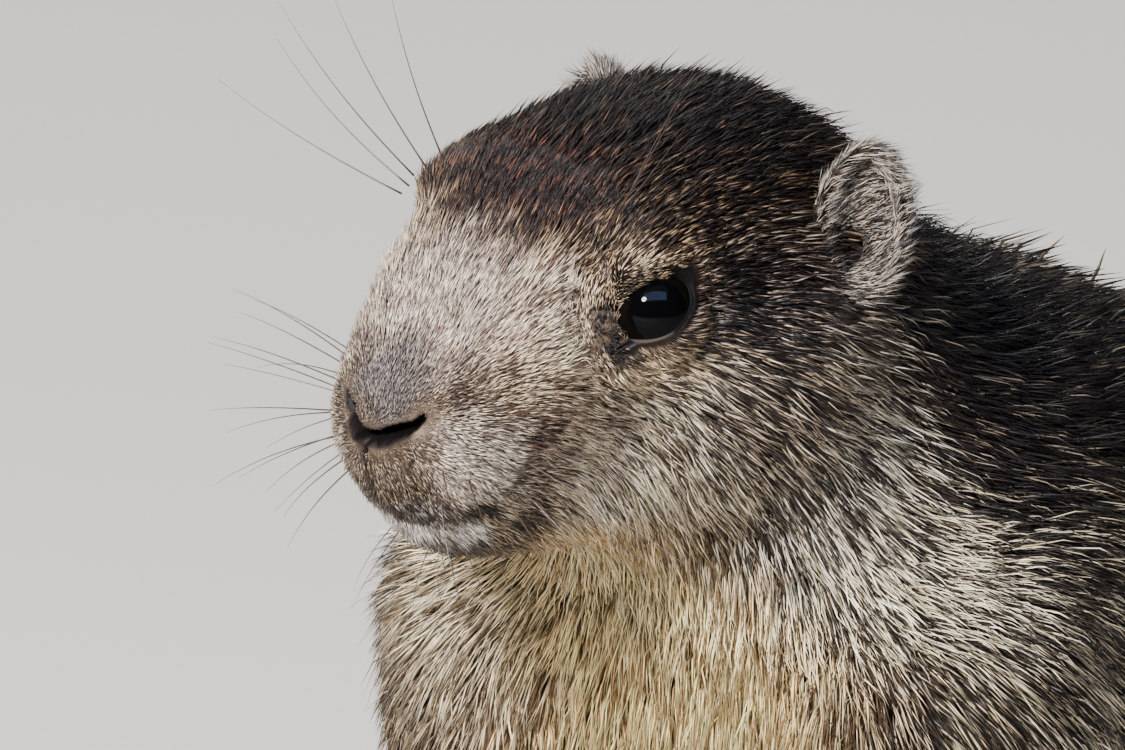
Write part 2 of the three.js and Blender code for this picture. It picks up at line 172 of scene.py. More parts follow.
# how the coat lies: place in millimetres, direction, hair length in mm and lean in degrees
headLie = {
    "noseDome": ((-2, 0, 5), (-0.6, 0, 0.8), 1.0, 22),
    "noseSide": ((-4, 6, 5), (-0.8, 0.4, 0.4), 1.1, 22),
    "noseFoot": ((-2, 2, -4), (-0.4, 0.6, -0.6), 1.0, 20),
    "lipFront": ((-3, 5, -8), (-0.5, 0.5, -0.9), 1.3, 24),
    "lipSide": ((-8, 12, -8), (-0.8, 0.4, -0.6), 1.7, 20),
    "padFront": ((-5, 9, 0), (-0.9, 0.5, -0.1), 1.8, 15),
    "padSide": ((-12, 14, -3), (-1, 0.3, -0.25), 2.6, 14),
    "noseSlope": ((-12, 12, 8), (-1, 0.3, 0.35), 2.3, 14),
    "bridge": ((-12, 3, 16), (-0.9, 0.1, 0.9), 2.4, 14),
    "forehead": ((-24, 5, 28), (-1, 0.05, 0.6), 3.6, 20),
    "brow": ((-25, 17, 26), (-1, 0.05, 0.55), 3.2, 18),
    "crown": ((-45, 0, 37), (-1, 0, 0), 4.4, 28),
    "crownBack": ((-66, 0, 35), (-1, 0, -0.3), 5.4, 30),
    "crownSide": ((-50, 19, 31), (-1, 0.1, -0.05), 4.4, 26),
    "underEye": ((-26, 21, 8), (-1, 0.1, -0.3), 2.8, 12),
    "cornerOfEye": ((-23, 15, 13), (-0.9, 0.2, 0.7), 2.0, 11),
    "lidFront": ((-28, 19.5, 21), (-1, 0.05, 0.7), 2.0, 12),
    "lidBack": ((-37, 22.5, 21.5), (-1, 0.1, 0.2), 2.4, 12),
    "behindEye": ((-44, 26, 14), (-1, 0.1, -0.15), 3.8, 14),
    "cheekFront": ((-22, 15, 0), (-1, 0.2, -0.45), 4.0, 13),
    "cheek": ((-40, 26, -2), (-1, 0.1, -0.5), 5.6, 14),
    "cheekBack": ((-58, 30, -2), (-1, 0, -0.5), 7.0, 16),
    "jawCorner": ((-44, 20, -14), (-0.9, 0.1, -0.8), 6.5, 22),
    "chin": ((-12, 0, -18), (-0.9, 0, -0.5), 2.4, 26),
    "chinSide": ((-14, 9, -14), (-1, 0.1, -0.4), 2.4, 24),
    "underJaw": ((-26, 8, -18), (-0.9, 0.1, -0.8), 4.5, 24),
    "throat": ((-40, 4, -26), (-0.6, 0, -1), 7, 24),
    "earFoot": ((-62, 24, 12), (-1, 0, -0.35), 5, 20),
}
bodyLie = {
    "nape": ((0, 66, 128), (0, 1, -0.4), 9, 24),
    "neckSide": ((32, 72, 104), (0.1, 1, -0.75), 8.5, 18),
    "withers": ((16, 100, 112), (0, 1, -0.25), 12, 22),
    "shoulder": ((44, 88, 84), (0.1, 1, -0.75), 11, 18),
    "armTop": ((42, 52, 90), (0.75, 0.15, -0.6), 9, 16),
    "upperArm": ((52, 62, 70), (0.2, 0.6, -1), 9, 16),
    "armFold": ((33, 48, 86), (0.68, 0.12, -0.68), 9, 14),
    "armFront": ((40, 42, 76), (0.5, 0.15, -1), 8, 16),
    "chest": ((0, 48, 74), (0, 0.1, -1), 10, 22),
    "chestSide": ((26, 50, 70), (0.35, 0.45, -1), 9, 17),
    "chestTop": ((0, 50, 92), (0, 0.1, -1), 9, 22),
    "chestFoot": ((0, 60, 44), (0, 0.5, -1), 9, 16),
    "foreArm": ((42, 62, 30), (0, 0.1, -1), 4, 14),
    "wrist": ((33, 60, 14), (0, -0.4, -1), 2.4, 12),
    "foreFoot": ((31, 46, 12), (0, -1, -0.25), 1.8, 12),
    "foreToes": ((31, 34, 8), (0, -1, -0.4), 1.4, 12),
    "back": ((0, 150, 104), (0, 1, -0.1), 14, 24),
    "backSide": ((38, 150, 92), (0.1, 1, -0.5), 13, 22),
    "flank": ((55, 150, 56), (0.1, 1, -0.6), 12, 20),
    "belly": ((0, 150, 10), (0, 1, 0), 4, 8),
    "bellySide": ((42, 150, 22), (0, 1, -0.35), 8, 14),
    "rumpTop": ((0, 212, 96), (0, 1, -0.35), 14, 24),
    "rumpSide": ((54, 214, 52), (0.1, 1, -0.7), 12, 20),
    "rumpEnd": ((0, 252, 56), (0, 0.6, -1), 12, 22),
    "thigh": ((64, 186, 38), (0.1, 0.8, -0.6), 9, 18),
    "hindFoot": ((48, 178, 14), (0.05, -1, -0.2), 2.4, 12),
    "hindToes": ((50, 150, 8), (0, -1, -0.3), 1.6, 12),
    "heel": ((48, 212, 8), (0, -0.2, -1), 2, 10),
    "tailRoot": ((0, 258, 28), (0, 1, -0.15), 15, 22),
    "tailMiddle": ((14, 312, 14), (0.45, 1, 0), 18, 24),
    "tailSide": ((26, 312, 10), (0.5, 1, 0), 18, 24),
    "tailEnd": ((46, 360, 11), (0.5, 1, 0), 14, 18),
}


lieReach = {"head": 7, "body": 20, "soft": 0.15, "tailFrom": 240}  # mm, soft is a share


def anchorList():
    rows = []
    for table, move, turn, reach in (
        (headLie, fromHead, headTurn, lieReach["head"] * mm),
        (bodyLie, fromBody, np.eye(3), lieReach["body"] * mm),
    ):
        for at, toward, length, lean in table.values():
            for side in (1, -1) if at[1 if table is headLie else 0] else (1,):
                flip = np.array([1, side, 1] if table is headLie else [side, 1, 1])
                if table is bodyLie and at[1] > lieReach["tailFrom"]:
                    flip = np.array([1, 1, 1])  # the tail curls one way only
                place = move(np.array(at, float) * flip)
                rows.append([*place, *(turn @ (unit(toward) * flip)), length, lean, reach])
    return np.array(rows)


anchors = anchorList()


def lieAt(points):  # direction, length (m) and lean (radians) of the coat at each point
    answer = np.empty((len(points), 5))
    step = 20000  # a share of the points at a time keeps the memory small
    for start in range(0, len(points), step):
        part = points[start : start + step]
        far = ((part[:, None, :] - anchors[None, :, :3]) ** 2).sum(2)
        reach = anchors[:, 8] ** 2
        weight = (reach / (far + lieReach["soft"] * reach)) ** 2
        answer[start : start + step] = weight @ anchors[:, 3:8] / weight.sum(1)[:, None]
    return unit(answer[:, :3]), answer[:, 3] * mm, np.radians(answer[:, 4])


# the markings, with some painted shade among them: place, reach, dark hairs, pale hairs and the share of
# pale ones
plainCoat = ((50, 38, 31), (168, 144, 112), 0.4)
bodyMarks = {
    "chest": ((0, 50, 70), (30, 22, 34), (128, 97, 62), (255, 227, 168), 0.76),
    "farChest": ((-34, 44, 82), (14, 14, 24), (112, 95, 74), (234, 218, 190), 0.62),
    "shoulderLeft": ((46, 76, 84), (22, 30, 28), (34, 28, 25), (226, 212, 184), 0.32),
    "shoulderRight": ((-46, 82, 86), (20, 30, 26), (34, 27, 24), (228, 218, 200), 0.38),
    "mantle": ((0, 100, 116), (52, 58, 34), (13, 11, 12), (72, 66, 66), 0.04),
    "back": ((0, 158, 110), (34, 66, 34), (34, 26, 23), (150, 128, 98), 0.26),
    "rump": ((0, 226, 90), (40, 40, 36), (48, 36, 28), (164, 132, 92), 0.36),
    "belly": ((0, 140, 12), (46, 90, 20), (124, 96, 62), (214, 188, 138), 0.6),
    "armLeft": ((40, 62, 30), (20, 24, 26), (134, 106, 70), (218, 192, 144), 0.6),
    "armRight": ((-40, 58, 30), (20, 24, 26), (134, 106, 70), (218, 192, 144), 0.6),
    "foreFeet": ((0, 44, 6), (60, 32, 11), (132, 106, 76), (216, 194, 154), 0.55),
    "hindFeet": ((0, 176, 6), (74, 56, 12), (128, 104, 74), (214, 190, 150), 0.55),
    "tail": ((12, 304, 14), (34, 52, 26), (48, 35, 27), (130, 98, 68), 0.32),
    "tailEnd": ((46, 366, 12), (24, 30, 24), (22, 17, 15), (66, 50, 40), 0.12),
}
headMarks = {
    "cheeks": ((-38, 0, -4), (28, 44, 15), (55, 43, 38), (240, 224, 198), 0.61),
    "cheekBacks": ((-61, 0, -10), (14, 46, 22), (44, 35, 32), (238, 230, 214), 0.52),
    "crown": ((-54, 0, 40), (37, 36, 20), (21, 15, 15), (98, 72, 60), 0.08),
    "forehead": ((-25, 0, 31), (10, 19, 9), (32, 16, 12), (114, 66, 48), 0.11),
    "faceSides": ((-17, 14, 12), (9, 7, 11), (112, 88, 72), (234, 214, 186), 0.72),
    "browLines": ((-28, 24, 22), (7, 4, 3), (92, 70, 58), (238, 214, 180), 0.72),
    "bridge": ((-11, 0, 14.5), (11, 13, 10.5), (134, 114, 106), (228, 212, 198), 0.66),
    "bridgeTop": ((-18, 17, 18.5), (5.5, 5, 6), (112, 88, 76), (240, 220, 200), 0.74),
    "temples": ((-48, 27, 16), (13, 10, 9), (36, 28, 26), (190, 170, 156), 0.3),
    "underEyes": ((-28, 22, 8.6), (7, 6, 3.0), (112, 86, 66), (244, 222, 186), 0.76),
    "darkCheeks": ((-46, 29, 0), (9, 8, 10), (34, 26, 24), (224, 202, 178), 0.32),
    "neckSides": ((-63, 35, -24), (14, 14, 12), (46, 38, 33), (234, 221, 194), 0.6),
    "pads": ((-9, 11, -2.5), (7.5, 7, 7.5), (140, 122, 112), (240, 228, 214), 0.8),
    "noseTop": ((-3, 0, 6), (6, 7, 6), (84, 76, 76), (146, 136, 132), 0.5),
    "behindPads": ((-15, 15.5, 0), (2.2, 4, 4.5), (60, 46, 40), (190, 162, 142), 0.45),
    "lips": ((-5, 6, -10), (5, 6, 1.8), (80, 68, 64), (180, 168, 158), 0.45),
    "underNose": ((-1, 2.4, -4.4), (4, 3.6, 2.4), (84, 70, 62), (176, 156, 138), 0.42),
    # the eye's front corner is darkened: its dark bare skin, and painted shade of the corner's groove
    "canthusShadeAndSkin": ((-25.4, 17.6, 12.9), (2.6, 3.6, 3.0), (14, 11, 11), (44, 36, 33), 0.12),
    "behindEyes": ((-42, 24.5, 15), (4, 5, 6), (22, 17, 17), (104, 86, 78), 0.16),
    "cheekFronts": ((-26, 16, -7), (8, 8, 7), (98, 82, 72), (246, 230, 208), 0.8),
    "chin": ((-7, 6, -15), (6, 7.5, 2.8), (156, 150, 146), (250, 246, 240), 0.88),
    # the mouth's line is darkened: the lips' dark edge and painted shade in the mouth's crease
    "mouthEdgeAndShade": ((-4.4, 6, -11.7), (4.5, 7, 1.3), (34, 28, 27), (84, 74, 70), 0.3),
    # painted shadow: the hair under the chin is darkened where the chin's shadow falls
    "shadowUnderChin": ((-13, 4, -19), (9, 10, 4.2), (42, 34, 27), (112, 92, 70), 0.26),
    "jaws": ((-32, 12, -19), (12, 12, 6), (112, 84, 56), (244, 210, 158), 0.72),
    "throat": ((-45, 0, -27), (12, 26, 9), (138, 112, 76), (244, 220, 170), 0.82),
}


faceLines = {
    "nostril": [(0.6, 0, -1.0), (0.2, 2.4, -0.6), (-0.4, 5, 0.7), (-1.2, 6.9, 1.8), (-1.8, 7.6, 2.9)],
    "cleft": [(1.3, 0, -2.4), (1.3, 0, -4), (0.6, 0, -5.6), (-0.7, 0, -8), (-2.2, 0, -10.4)],
    "mouth": [(-2.6, 0, -10.8), (-3.2, 4, -11.6), (-4.6, 7, -11.8), (-7, 11.2, -10.4),
              (-12, 12.2, -11.6), (-18, 11.2, -14)],
}


whiskers = {  # root and tip in head millimetres, droop in mm; the far side's are mirrored
    "pad": [
        ((-9, 11.5, 3), (-2, 34, 14), 3), ((-8, 12, 0.5), (-1, 36, 6), 3),
        ((-8, 12, -2), (0, 35, -2), 3), ((-7, 11, -4.5), (1, 30, -11), 3),
        ((-11, 13, 3), (-8, 40, 12), 4), ((-11, 13.5, 0), (-9, 43, 3), 4),
        ((-11, 13.5, -3), (-8, 40, -7), 4), ((-10, 12.5, -5.5), (-6, 33, -15), 3),
        ((-14, 14.5, 2.5), (-17, 44, 8), 4), ((-14, 15, -0.5), (-20, 46, -2), 5),
        ((-14, 14.5, -3.5), (-19, 42, -12), 4), ((-13, 13, -6), (-14, 33, -19), 3),
        ((-5, 8.5, -3), (6, 22, -8), 2), ((-4.5, 8, -6), (5, 18, -15), 2),
        ((-6, 9.5, 1), (5, 27, 4), 2), ((-5, 8.5, -8), (2, 17, -20), 2),
    ],
    "brow": [
        ((-23.5, 19, 27), (-15, 38, 44), -3), ((-25.5, 18.5, 28), (-20, 34, 48), -3),
        ((-28, 18, 29.5), (-27, 28, 49), -3), ((-22.5, 20.5, 24), (-11, 44, 35), -2),
        ((-24, 20.5, 25), (-17, 42, 40), -2),
    ],
    "chin": [((-9, 4, -17), (-4, 10, -27), 1), ((-11, 7, -17), (-8, 16, -26), 1),
             ((-13, 2, -19), (-10, 5, -29), 1)],
}


def markList():
    rows = []
    for at, reach, dark, pale, share in bodyMarks.values():
        rows.append((toBody, at, reach, dark, pale, share))
    for at, reach, dark, pale, share in headMarks.values():
        for side in (1, -1) if at[1] else (1,):
            rows.append((toHead, (at[0], at[1] * side, at[2]), reach, dark, pale, share))
    return rows


markRows = markList()


markEdges = {  # shares of a mark's reach, then millimetres
    "fade": (0.4, 1.45), "wander": ((9, 1.2, 31), (3, 0.7, 34)), "onBody": 2.5, "faceFrom": -26,
    "mouth": (0.9, 2.0), "mouthLipAndShade": 0.93, "dot": (0.5, 0.95), "dotDarkness": 0.85,
    "lipShadeAndDotDark": (26, 20, 18), "lipShadeAndDotPale": (44, 36, 32),
}


def foldToLeft(head):  # the right half of the head laid over the left
    return np.stack([head[:, 0], np.abs(head[:, 1]), head[:, 2]], 1)


def markingsAt(points):  # dark colour, pale colour and share of pale hairs at each point
    count = len(points)
    dark = np.tile(linear(plainCoat[0]), (count, 1))
    pale = np.tile(linear(plainCoat[1]), (count, 1))
    share = np.full(count, plainCoat[2])
    stray = np.zeros((count, 3))
    for size, far, seed in markEdges["wander"]:
        stray += wander(points, size, seed) * far * mm
    body, head = toBody(points + stray * markEdges["onBody"]), toHead(points + stray)
    for frameOf, at, reach, darkTint, paleTint, paleShare in markRows:
        local = (body if frameOf is toBody else head) - np.array(at)
        weight = 1 - smoothStep(*markEdges["fade"], np.linalg.norm(local / np.array(reach), axis=1))
        dark += (linear(darkTint) - dark) * weight[:, None]
        pale += (linear(paleTint) - pale) * weight[:, None]
        share += (paleShare - share) * weight
    face = head[:, 0] > markEdges["faceFrom"]
    folded = foldToLeft(head)[face]
    # painted shade: hair along the mouth's crease is darkened, partly the lips' dark edge
    mouth = nearLine(folded, faceLines["mouth"])
    lipShadeAndDots = np.zeros(count)
    lipShadeAndDots[face] = markEdges["mouthLipAndShade"] * (1 - smoothStep(*markEdges["mouth"], mouth))
    for root, end, droop in whiskers["pad"]:  # each whisker grows from a dark dot
        far = np.linalg.norm(folded - np.array(root) * [1, 0.97, 1], axis=1)
        dot = markEdges["dotDarkness"] * (1 - smoothStep(*markEdges["dot"], far))
        lipShadeAndDots[face] = np.maximum(lipShadeAndDots[face], dot)
    dark += (linear(markEdges["lipShadeAndDotDark"]) - dark) * lipShadeAndDots[:, None]
    pale += (linear(markEdges["lipShadeAndDotPale"]) - pale) * lipShadeAndDots[:, None]
    return dark, pale, share


# where the eyes sit, and the outline of each opening in degrees to the front and up
eyes = {
    "at": (-33.6, 18.2, 14.3),
    "radius": 6.1,
    "gaze": (0.46, 0.84, 0.28),
    "bulge": 0.32,
    "opening": [
        (93, -24), (71, 0), (52, 18), (34, 31), (12, 40), (-14, 43), (-33, 40), (-45, 29),
        (-42, 10), (-33, -4), (-21, -18), (-5, -31), (21, -38), (50, -38), (78, -34),
    ],
}


def eyeFrame(side):  # gaze, front and up directions in the head's own frame
    gaze = unit(eyes["gaze"])
    up = unit(np.array([0, 0, 1.0]) - gaze[2] * gaze)
    front = np.cross(gaze, up)
    front = front if front[0] > 0 else -front
    flip = np.array([1, side, 1])
    return np.array(eyes["at"]) * flip, gaze * flip, front * flip, up * flip


def nearEye(head, side, reach):  # the points within reach millimetres of an eye's centre
    return np.nonzero(np.linalg.norm(head - eyeFrame(side)[0], axis=1) < reach)[0]


def openingLoop(count):
    corners = np.array(eyes["opening"], float)
    loop = []
    for k in range(len(corners)):
        a, b, c, d = (corners[(k + j) % len(corners)] for j in (-1, 0, 1, 2))
        for t in np.arange(8) / 8:
            loop.append(0.5 * (2 * b + (c - a) * t + (2 * a - 5 * b + 4 * c - d) * t * t
                               + (3 * b - a - 3 * c + d) * t ** 3))
    loop = np.array(loop)
    return loop[np.linspace(0, len(loop), count, endpoint=False).astype(int)]


def lidDistance(headPoints, side):  # degrees outside the opening, and mm from the eye's centre
    at, gaze, front, up = eyeFrame(side)
    out = headPoints - at
    far = np.linalg.norm(out, axis=1)
    way = out / far[:, None]
    angles = np.stack([
        np.degrees(np.arctan2(way @ front, way @ gaze)),
        np.degrees(np.arcsin(np.clip(way @ up, -1, 1))),
    ], 1)
    loop = openingLoop(120)
    nearest = np.full(len(angles), 1e9)
    inside = np.zeros(len(angles), bool)
    for a, b in zip(loop, np.roll(loop, -1, axis=0)):
        t = np.clip((angles - a) @ (b - a) / ((b - a) @ (b - a) + 1e-9), 0, 1)
        nearest = np.minimum(nearest, np.linalg.norm(angles - a - t[:, None] * (b - a), axis=1))
        crosses = (a[1] > angles[:, 1]) != (b[1] > angles[:, 1])
        edge = a[0] + (angles[:, 1] - a[1]) / (b[1] - a[1] + 1e-9) * (b[0] - a[0])
        inside ^= crosses & (angles[:, 0] < edge)
    return np.where(inside, -nearest, nearest), far


# each ear is an open cup on a side of the crown: millimetres, and shares of half its width and height
ears = {
    "at": (-63.3, 26.2, 22.1), "look": (0.84, 0.5, 0.16), "stand": (-0.12, 0, 1),
    "width": 11.6, "height": 20.6, "cup": 3.4, "thick": 1.5, "narrowTop": 0.16,
    "canal": (0.28, -0.34), "canalSize": (0.26, 0.17), "canalDeep": 3.4,
    "roll": 0.9, "rollAt": 0.93, "rollWide": 0.09, "ridge": 1.0, "ridgeAt": 0.05, "ridgeSize": (0.55, 0.12),
    "rings": 26, "spokes": 72, "hair": 4.6, "rimHair": 0.4, "canalHair": 0.6, "paleShare": (0.56, 0.42),
    "darkTint": (50, 43, 40), "paleTint": (166, 155, 145), "skinTint": (70, 55, 48),
}


def earFrame(side):  # look, across (towards the nose) and up directions, head frame
    flip = np.array([1, side, 1])
    look = unit(np.array(ears["look"]) * flip)
    up = unit(np.array(ears["stand"]) - (np.array(ears["stand"]) @ look) * look)
    across = np.cross(up, look)
    across = across if across[1] * side < 0 else -across
    return np.array(ears["at"]) * flip, look, across, up


def canalAt(head, grow=1.0):  # 1 inside the ear's opening, 0 away from it
    deep = np.zeros(len(head))
    for side in (1, -1):
        at, look, across, up = earFrame(side)
        a = (head - at) @ across / ears["width"] * 2 - ears["canal"][0]
        b = (head - at) @ up / ears["height"] * 2 - ears["canal"][1]
        far = np.hypot(a / ears["canalSize"][0], b / ears["canalSize"][1]) / grow
        deep = np.maximum(deep, 1 - smoothStep(0.7, 1.15, far))
    return deep


def buildEar(side):
    at, look, across, up = earFrame(side)
    rings, spokes = ears["rings"], ears["spokes"]
    points, kind = [], []
    for face in (1, -1):
        for k in range(rings if face == 1 else rings - 1, -1 if face == -1 else 0, -1):
            rho = k / rings
            for j in range(spokes if k else 1):
                turn = 2 * math.pi * j / spokes
                a = math.cos(turn) * rho
                b = math.sin(turn) * rho
                narrow = 1 - ears["narrowTop"] * max(b, 0) ** 2
                x = a * ears["width"] / 2 * narrow
                y = b * ears["height"] / 2
                sink = -ears["cup"] * (1 - rho ** 2)
                roll = ears["roll"] * math.exp(-((rho - ears["rollAt"]) / ears["rollWide"]) ** 2)
                roll = roll * smoothStep(-0.5, 0.4, b)
                hole = math.hypot((a - ears["canal"][0]) / ears["canalSize"][0],
                                  (b - ears["canal"][1]) / ears["canalSize"][1])
                ridge = math.hypot((a - ears["ridgeAt"]) / ears["ridgeSize"][0],
                                   (b - ears["ridgeAt"]) / ears["ridgeSize"][1])
                if face == 1:
                    lift = sink + roll - ears["canalDeep"] * math.exp(-hole ** 2)
                    lift = lift + ears["ridge"] * math.exp(-ridge ** 2)
                else:
                    lift = sink - ears["thick"] * (1 - 0.5 * rho ** 6) - 0.4 * (1 - rho)
                points.append(at + across * x + up * y + look * lift)
                kind.append(1.0 if face == 1 else 2.0)
        if face == 1:
            points.append(at - look * (ears["cup"] + 0.2))
            kind.append(1.0)
    # the front face runs from the rim in to its middle, the back face out again
    front = [[r * spokes + j for j in range(spokes)] for r in range(rings)]
    middle = rings * spokes
    first = middle + 1
    back = [[first + r * spokes + j for j in range(spokes)] for r in range(rings - 1)]
    tail = first + (rings - 1) * spokes
    triangles = []
    rows = front[::-1]
    for j in range(spokes):
        n = (j + 1) % spokes
        triangles.append((middle, rows[0][j], rows[0][n]))
        for lower, upper in zip(rows, rows[1:]):
            triangles += [(lower[j], upper[j], upper[n]), (lower[j], upper[n], lower[n])]
        outline = [front[0]] + back
        for lower, upper in zip(outline, outline[1:]):
            triangles += [(lower[j], upper[j], upper[n]), (lower[j], upper[n], lower[n])]
        triangles.append((back[-1][j], tail, back[-1][n]))
    piece = newMesh("ear", fromHead(points), triangles)
    paint(piece.data, "earFace", kind)
    turnOutwards(piece)
    return piece


# one closed skin for all the nodes of flesh: millimetres, and rounds of smoothing
skinWork = {"voxel": 1.6, "smooth": 10, "steps": 6, "pawSmooth": 3, "foldSmooth": 40, "pawTop": 13}
skinDepth = {"share": 0.92, "standing": 0.5}  # share of the coat's depth, more where hair stands up


def neighbourMean(points, ends, times, share=0.5, keep=None):
    a, b = ends[:, 0], ends[:, 1]
    count = np.bincount(a, minlength=len(points)) + np.bincount(b, minlength=len(points))
    for _ in range(times):
        total = np.stack([
            np.bincount(a, points[b, k], len(points)) + np.bincount(b, points[a, k], len(points))
            for k in range(3)
        ], 1)
        moved = points + (total / np.maximum(count, 1)[:, None] - points) * share
        points = moved if keep is None else np.where(keep[:, None], moved, points)
    return points


def edgeEnds(mesh):
    flat = np.empty(len(mesh.edges) * 2, np.int32)
    mesh.edges.foreach_get("vertices", flat)
    return flat.reshape(-1, 2)


def largestShell(mesh):
    ends = edgeEnds(mesh)
    label = np.arange(len(mesh.vertices))
    for _ in range(400):
        low = np.minimum(label[ends[:, 0]], label[ends[:, 1]])
        new = label.copy()
        np.minimum.at(new, ends[:, 0], low)
        np.minimum.at(new, ends[:, 1], low)
        new = new[new]
        if (new == label).all():
            break
        label = new
    keep = np.argmax(np.bincount(label))
    if (label == keep).all():
        return
    work = bmesh.new()
    work.from_mesh(mesh)
    work.verts.ensure_lookup_table()
    loose = [work.verts[i] for i in np.nonzero(label != keep)[0]]
    print("skin: dropped", len(loose), "points of inner shells")
    bmesh.ops.delete(work, geom=loose, context="VERTS")
    work.to_mesh(mesh)
    work.free()


def refine(piece, wanted):  # cuts the faces round the chosen points once more
    chosen = wanted(toHead(pointsOf(piece.data)))
    makeActive(piece)
    corner = np.empty(len(piece.data.loops), np.int32)
    piece.data.loops.foreach_get("vertex_index", corner)
    start = np.empty(len(piece.data.polygons), np.int32)
    piece.data.polygons.foreach_get("loop_start", start)
    whole = np.logical_and.reduceat(chosen[corner], start)
    bpy.ops.object.mode_set(mode="EDIT")
    bpy.ops.mesh.select_mode(type="FACE")
    bpy.ops.mesh.select_all(action="DESELECT")
    bpy.ops.object.mode_set(mode="OBJECT")
    piece.data.polygons.foreach_set("select", whole)
    bpy.ops.object.mode_set(mode="EDIT")
    bpy.ops.mesh.subdivide(number_cuts=1, smoothness=0)
    bpy.ops.object.mode_set(mode="OBJECT")


def nearLine(points, line):  # distance in mm to a bent line
    line = np.array(line, float)
    nearest = np.full(len(points), 1e9)
    for a, b in zip(line, line[1:]):
        t = np.clip((points - a) @ (b - a) / ((b - a) @ (b - a)), 0, 1)
        nearest = np.minimum(nearest, np.linalg.norm(points - a - t[:, None] * (b - a), axis=1))
    return nearest


noseWork = {  # millimetres
    "profile": ([-12, -10, -8, -5.5, -3.5, -2, 0, 2], [-4, -2.4, -0.9, 0.5, 1.2, 1, 0.3, -0.2]),
    "sweep": 0.055, "wide": 0.8, "swell": 0.2, "swellAt": 3.2, "swellReach": 2.4,
    "taper": 0.4, "taperFrom": (5, 7.8), "deep": 3.4, "inward": (-1, 0, 0.45),
    "bareEdge": (1.0, 1.4), "baldEdge": (1.2, 1.75),
    "cleftWide": 0.75, "cleftDeep": 0.9, "cleftBare": (0.35, 0.85),
    "mouthWide": 1.2, "mouthDeep": 1.8, "mouthBare": (0.5, 1.3),
}
socketWork = {  # millimetres, and degrees outside the eye's opening
    "reach": 16, "deep": 2.4, "edge": (-4, 2.5), "front": (0.45, 0.9),
    "rim": ([0, 5, 15, 35, 60, 80], [0.5, 0.6, 0.55, 0.45, 0.4, 0.3]),
    "frontSlope": (2, 34), "backSlope": (2, 20), "backShare": 0.3, "lid": (3, 6.5), "lidReach": 9.5,
}


def slitDistance(head):  # how far a point is from the curve of the nostrils, mostly across the face
    across = np.array([0.5, 1, 1])
    return nearLine(foldToLeft(head) * across, np.array(faceLines["nostril"]) * across)


def carve(far, wide):  # 1 in the middle of a groove, 0 at its edges
    return np.clip(1 - (far / wide) ** 2, 0, 1)


def sculptFace(head, normals):  # nose, cleft, mouth and eye sockets, in head millimetres
    work = noseWork
    moved = head.copy()
    x, y, z = head.T
    folded = foldToLeft(head)
    wanted = np.interp(z, *work["profile"]) - work["sweep"] * y ** 2
    near = (x > -7) & (np.abs(y) < 6) & (z > -11) & (z < 2)
    moved[near, 0] = np.maximum(x[near], wanted[near])
    slit = slitDistance(moved)
    swell = np.exp(-((folded[:, 1] - work["swellAt"]) / work["swellReach"]) ** 2)
    wide = work["wide"] + work["swell"] * swell
    wide = wide * (1 - work["taper"] * smoothStep(*work["taperFrom"], folded[:, 1]))
    sunk = work["deep"] * carve(slit / wide, 1.1) ** 0.6 * wide
    moved += unit(np.array(work["inward"])) * sunk[:, None]
    # painted shade: the nostril slit is painted near-black through the bare mask as well as carved, partly
    # the nose leather's dark skin
    bare = 1 - smoothStep(*work["bareEdge"], slit / wide)
    bald = 1 - smoothStep(*work["baldEdge"], slit / wide)
    cleft = nearLine(moved, faceLines["cleft"])
    moved[:, 0] -= work["cleftDeep"] * carve(cleft, work["cleftWide"])
    mouth = nearLine(folded, faceLines["mouth"])
    moved -= normals * (work["mouthDeep"] * carve(mouth, work["mouthWide"]))[:, None]
    # painted shade: the cleft and the mouth line are painted near-black too, partly the lips' dark skin
    bare = np.maximum(bare, 1 - smoothStep(*work["cleftBare"], cleft))
    bare = np.maximum(bare, 0.9 * (1 - smoothStep(*work["mouthBare"], mouth)))
    work = socketWork
    for side in (1, -1):
        at, gaze, front, up = eyeFrame(side)
        close = nearEye(moved, side, work["reach"])
        off, far = lidDistance(moved[close], side)
        rise = eyes["radius"] + np.interp(off, *work["rim"])
        fore = smoothStep(*work["front"], (moved[close] - at) @ front / far)
        slope = 1 - fore * (1 - smoothStep(*work["frontSlope"], off))
        slope = slope - work["backShare"] * (1 - fore) * (1 - smoothStep(*work["backSlope"], off))
        outside = np.maximum(rise, rise + (far - rise) * slope)
        inside = np.minimum(far, eyes["radius"] - work["deep"])
        target = inside + (outside - inside) * smoothStep(*work["edge"], off)
        moved[close] = at + (moved[close] - at) * (target / far)[:, None]
        # the near-black lid margin reaches further at the front corner, as painted shade of the corner's
        # groove
        lid = (1 - smoothStep(*work["lid"], off - 5 * fore)) * (far < work["lidReach"])
        bare[close] = np.maximum(bare[close], lid)
    return moved, bare, np.maximum(bare, bald)


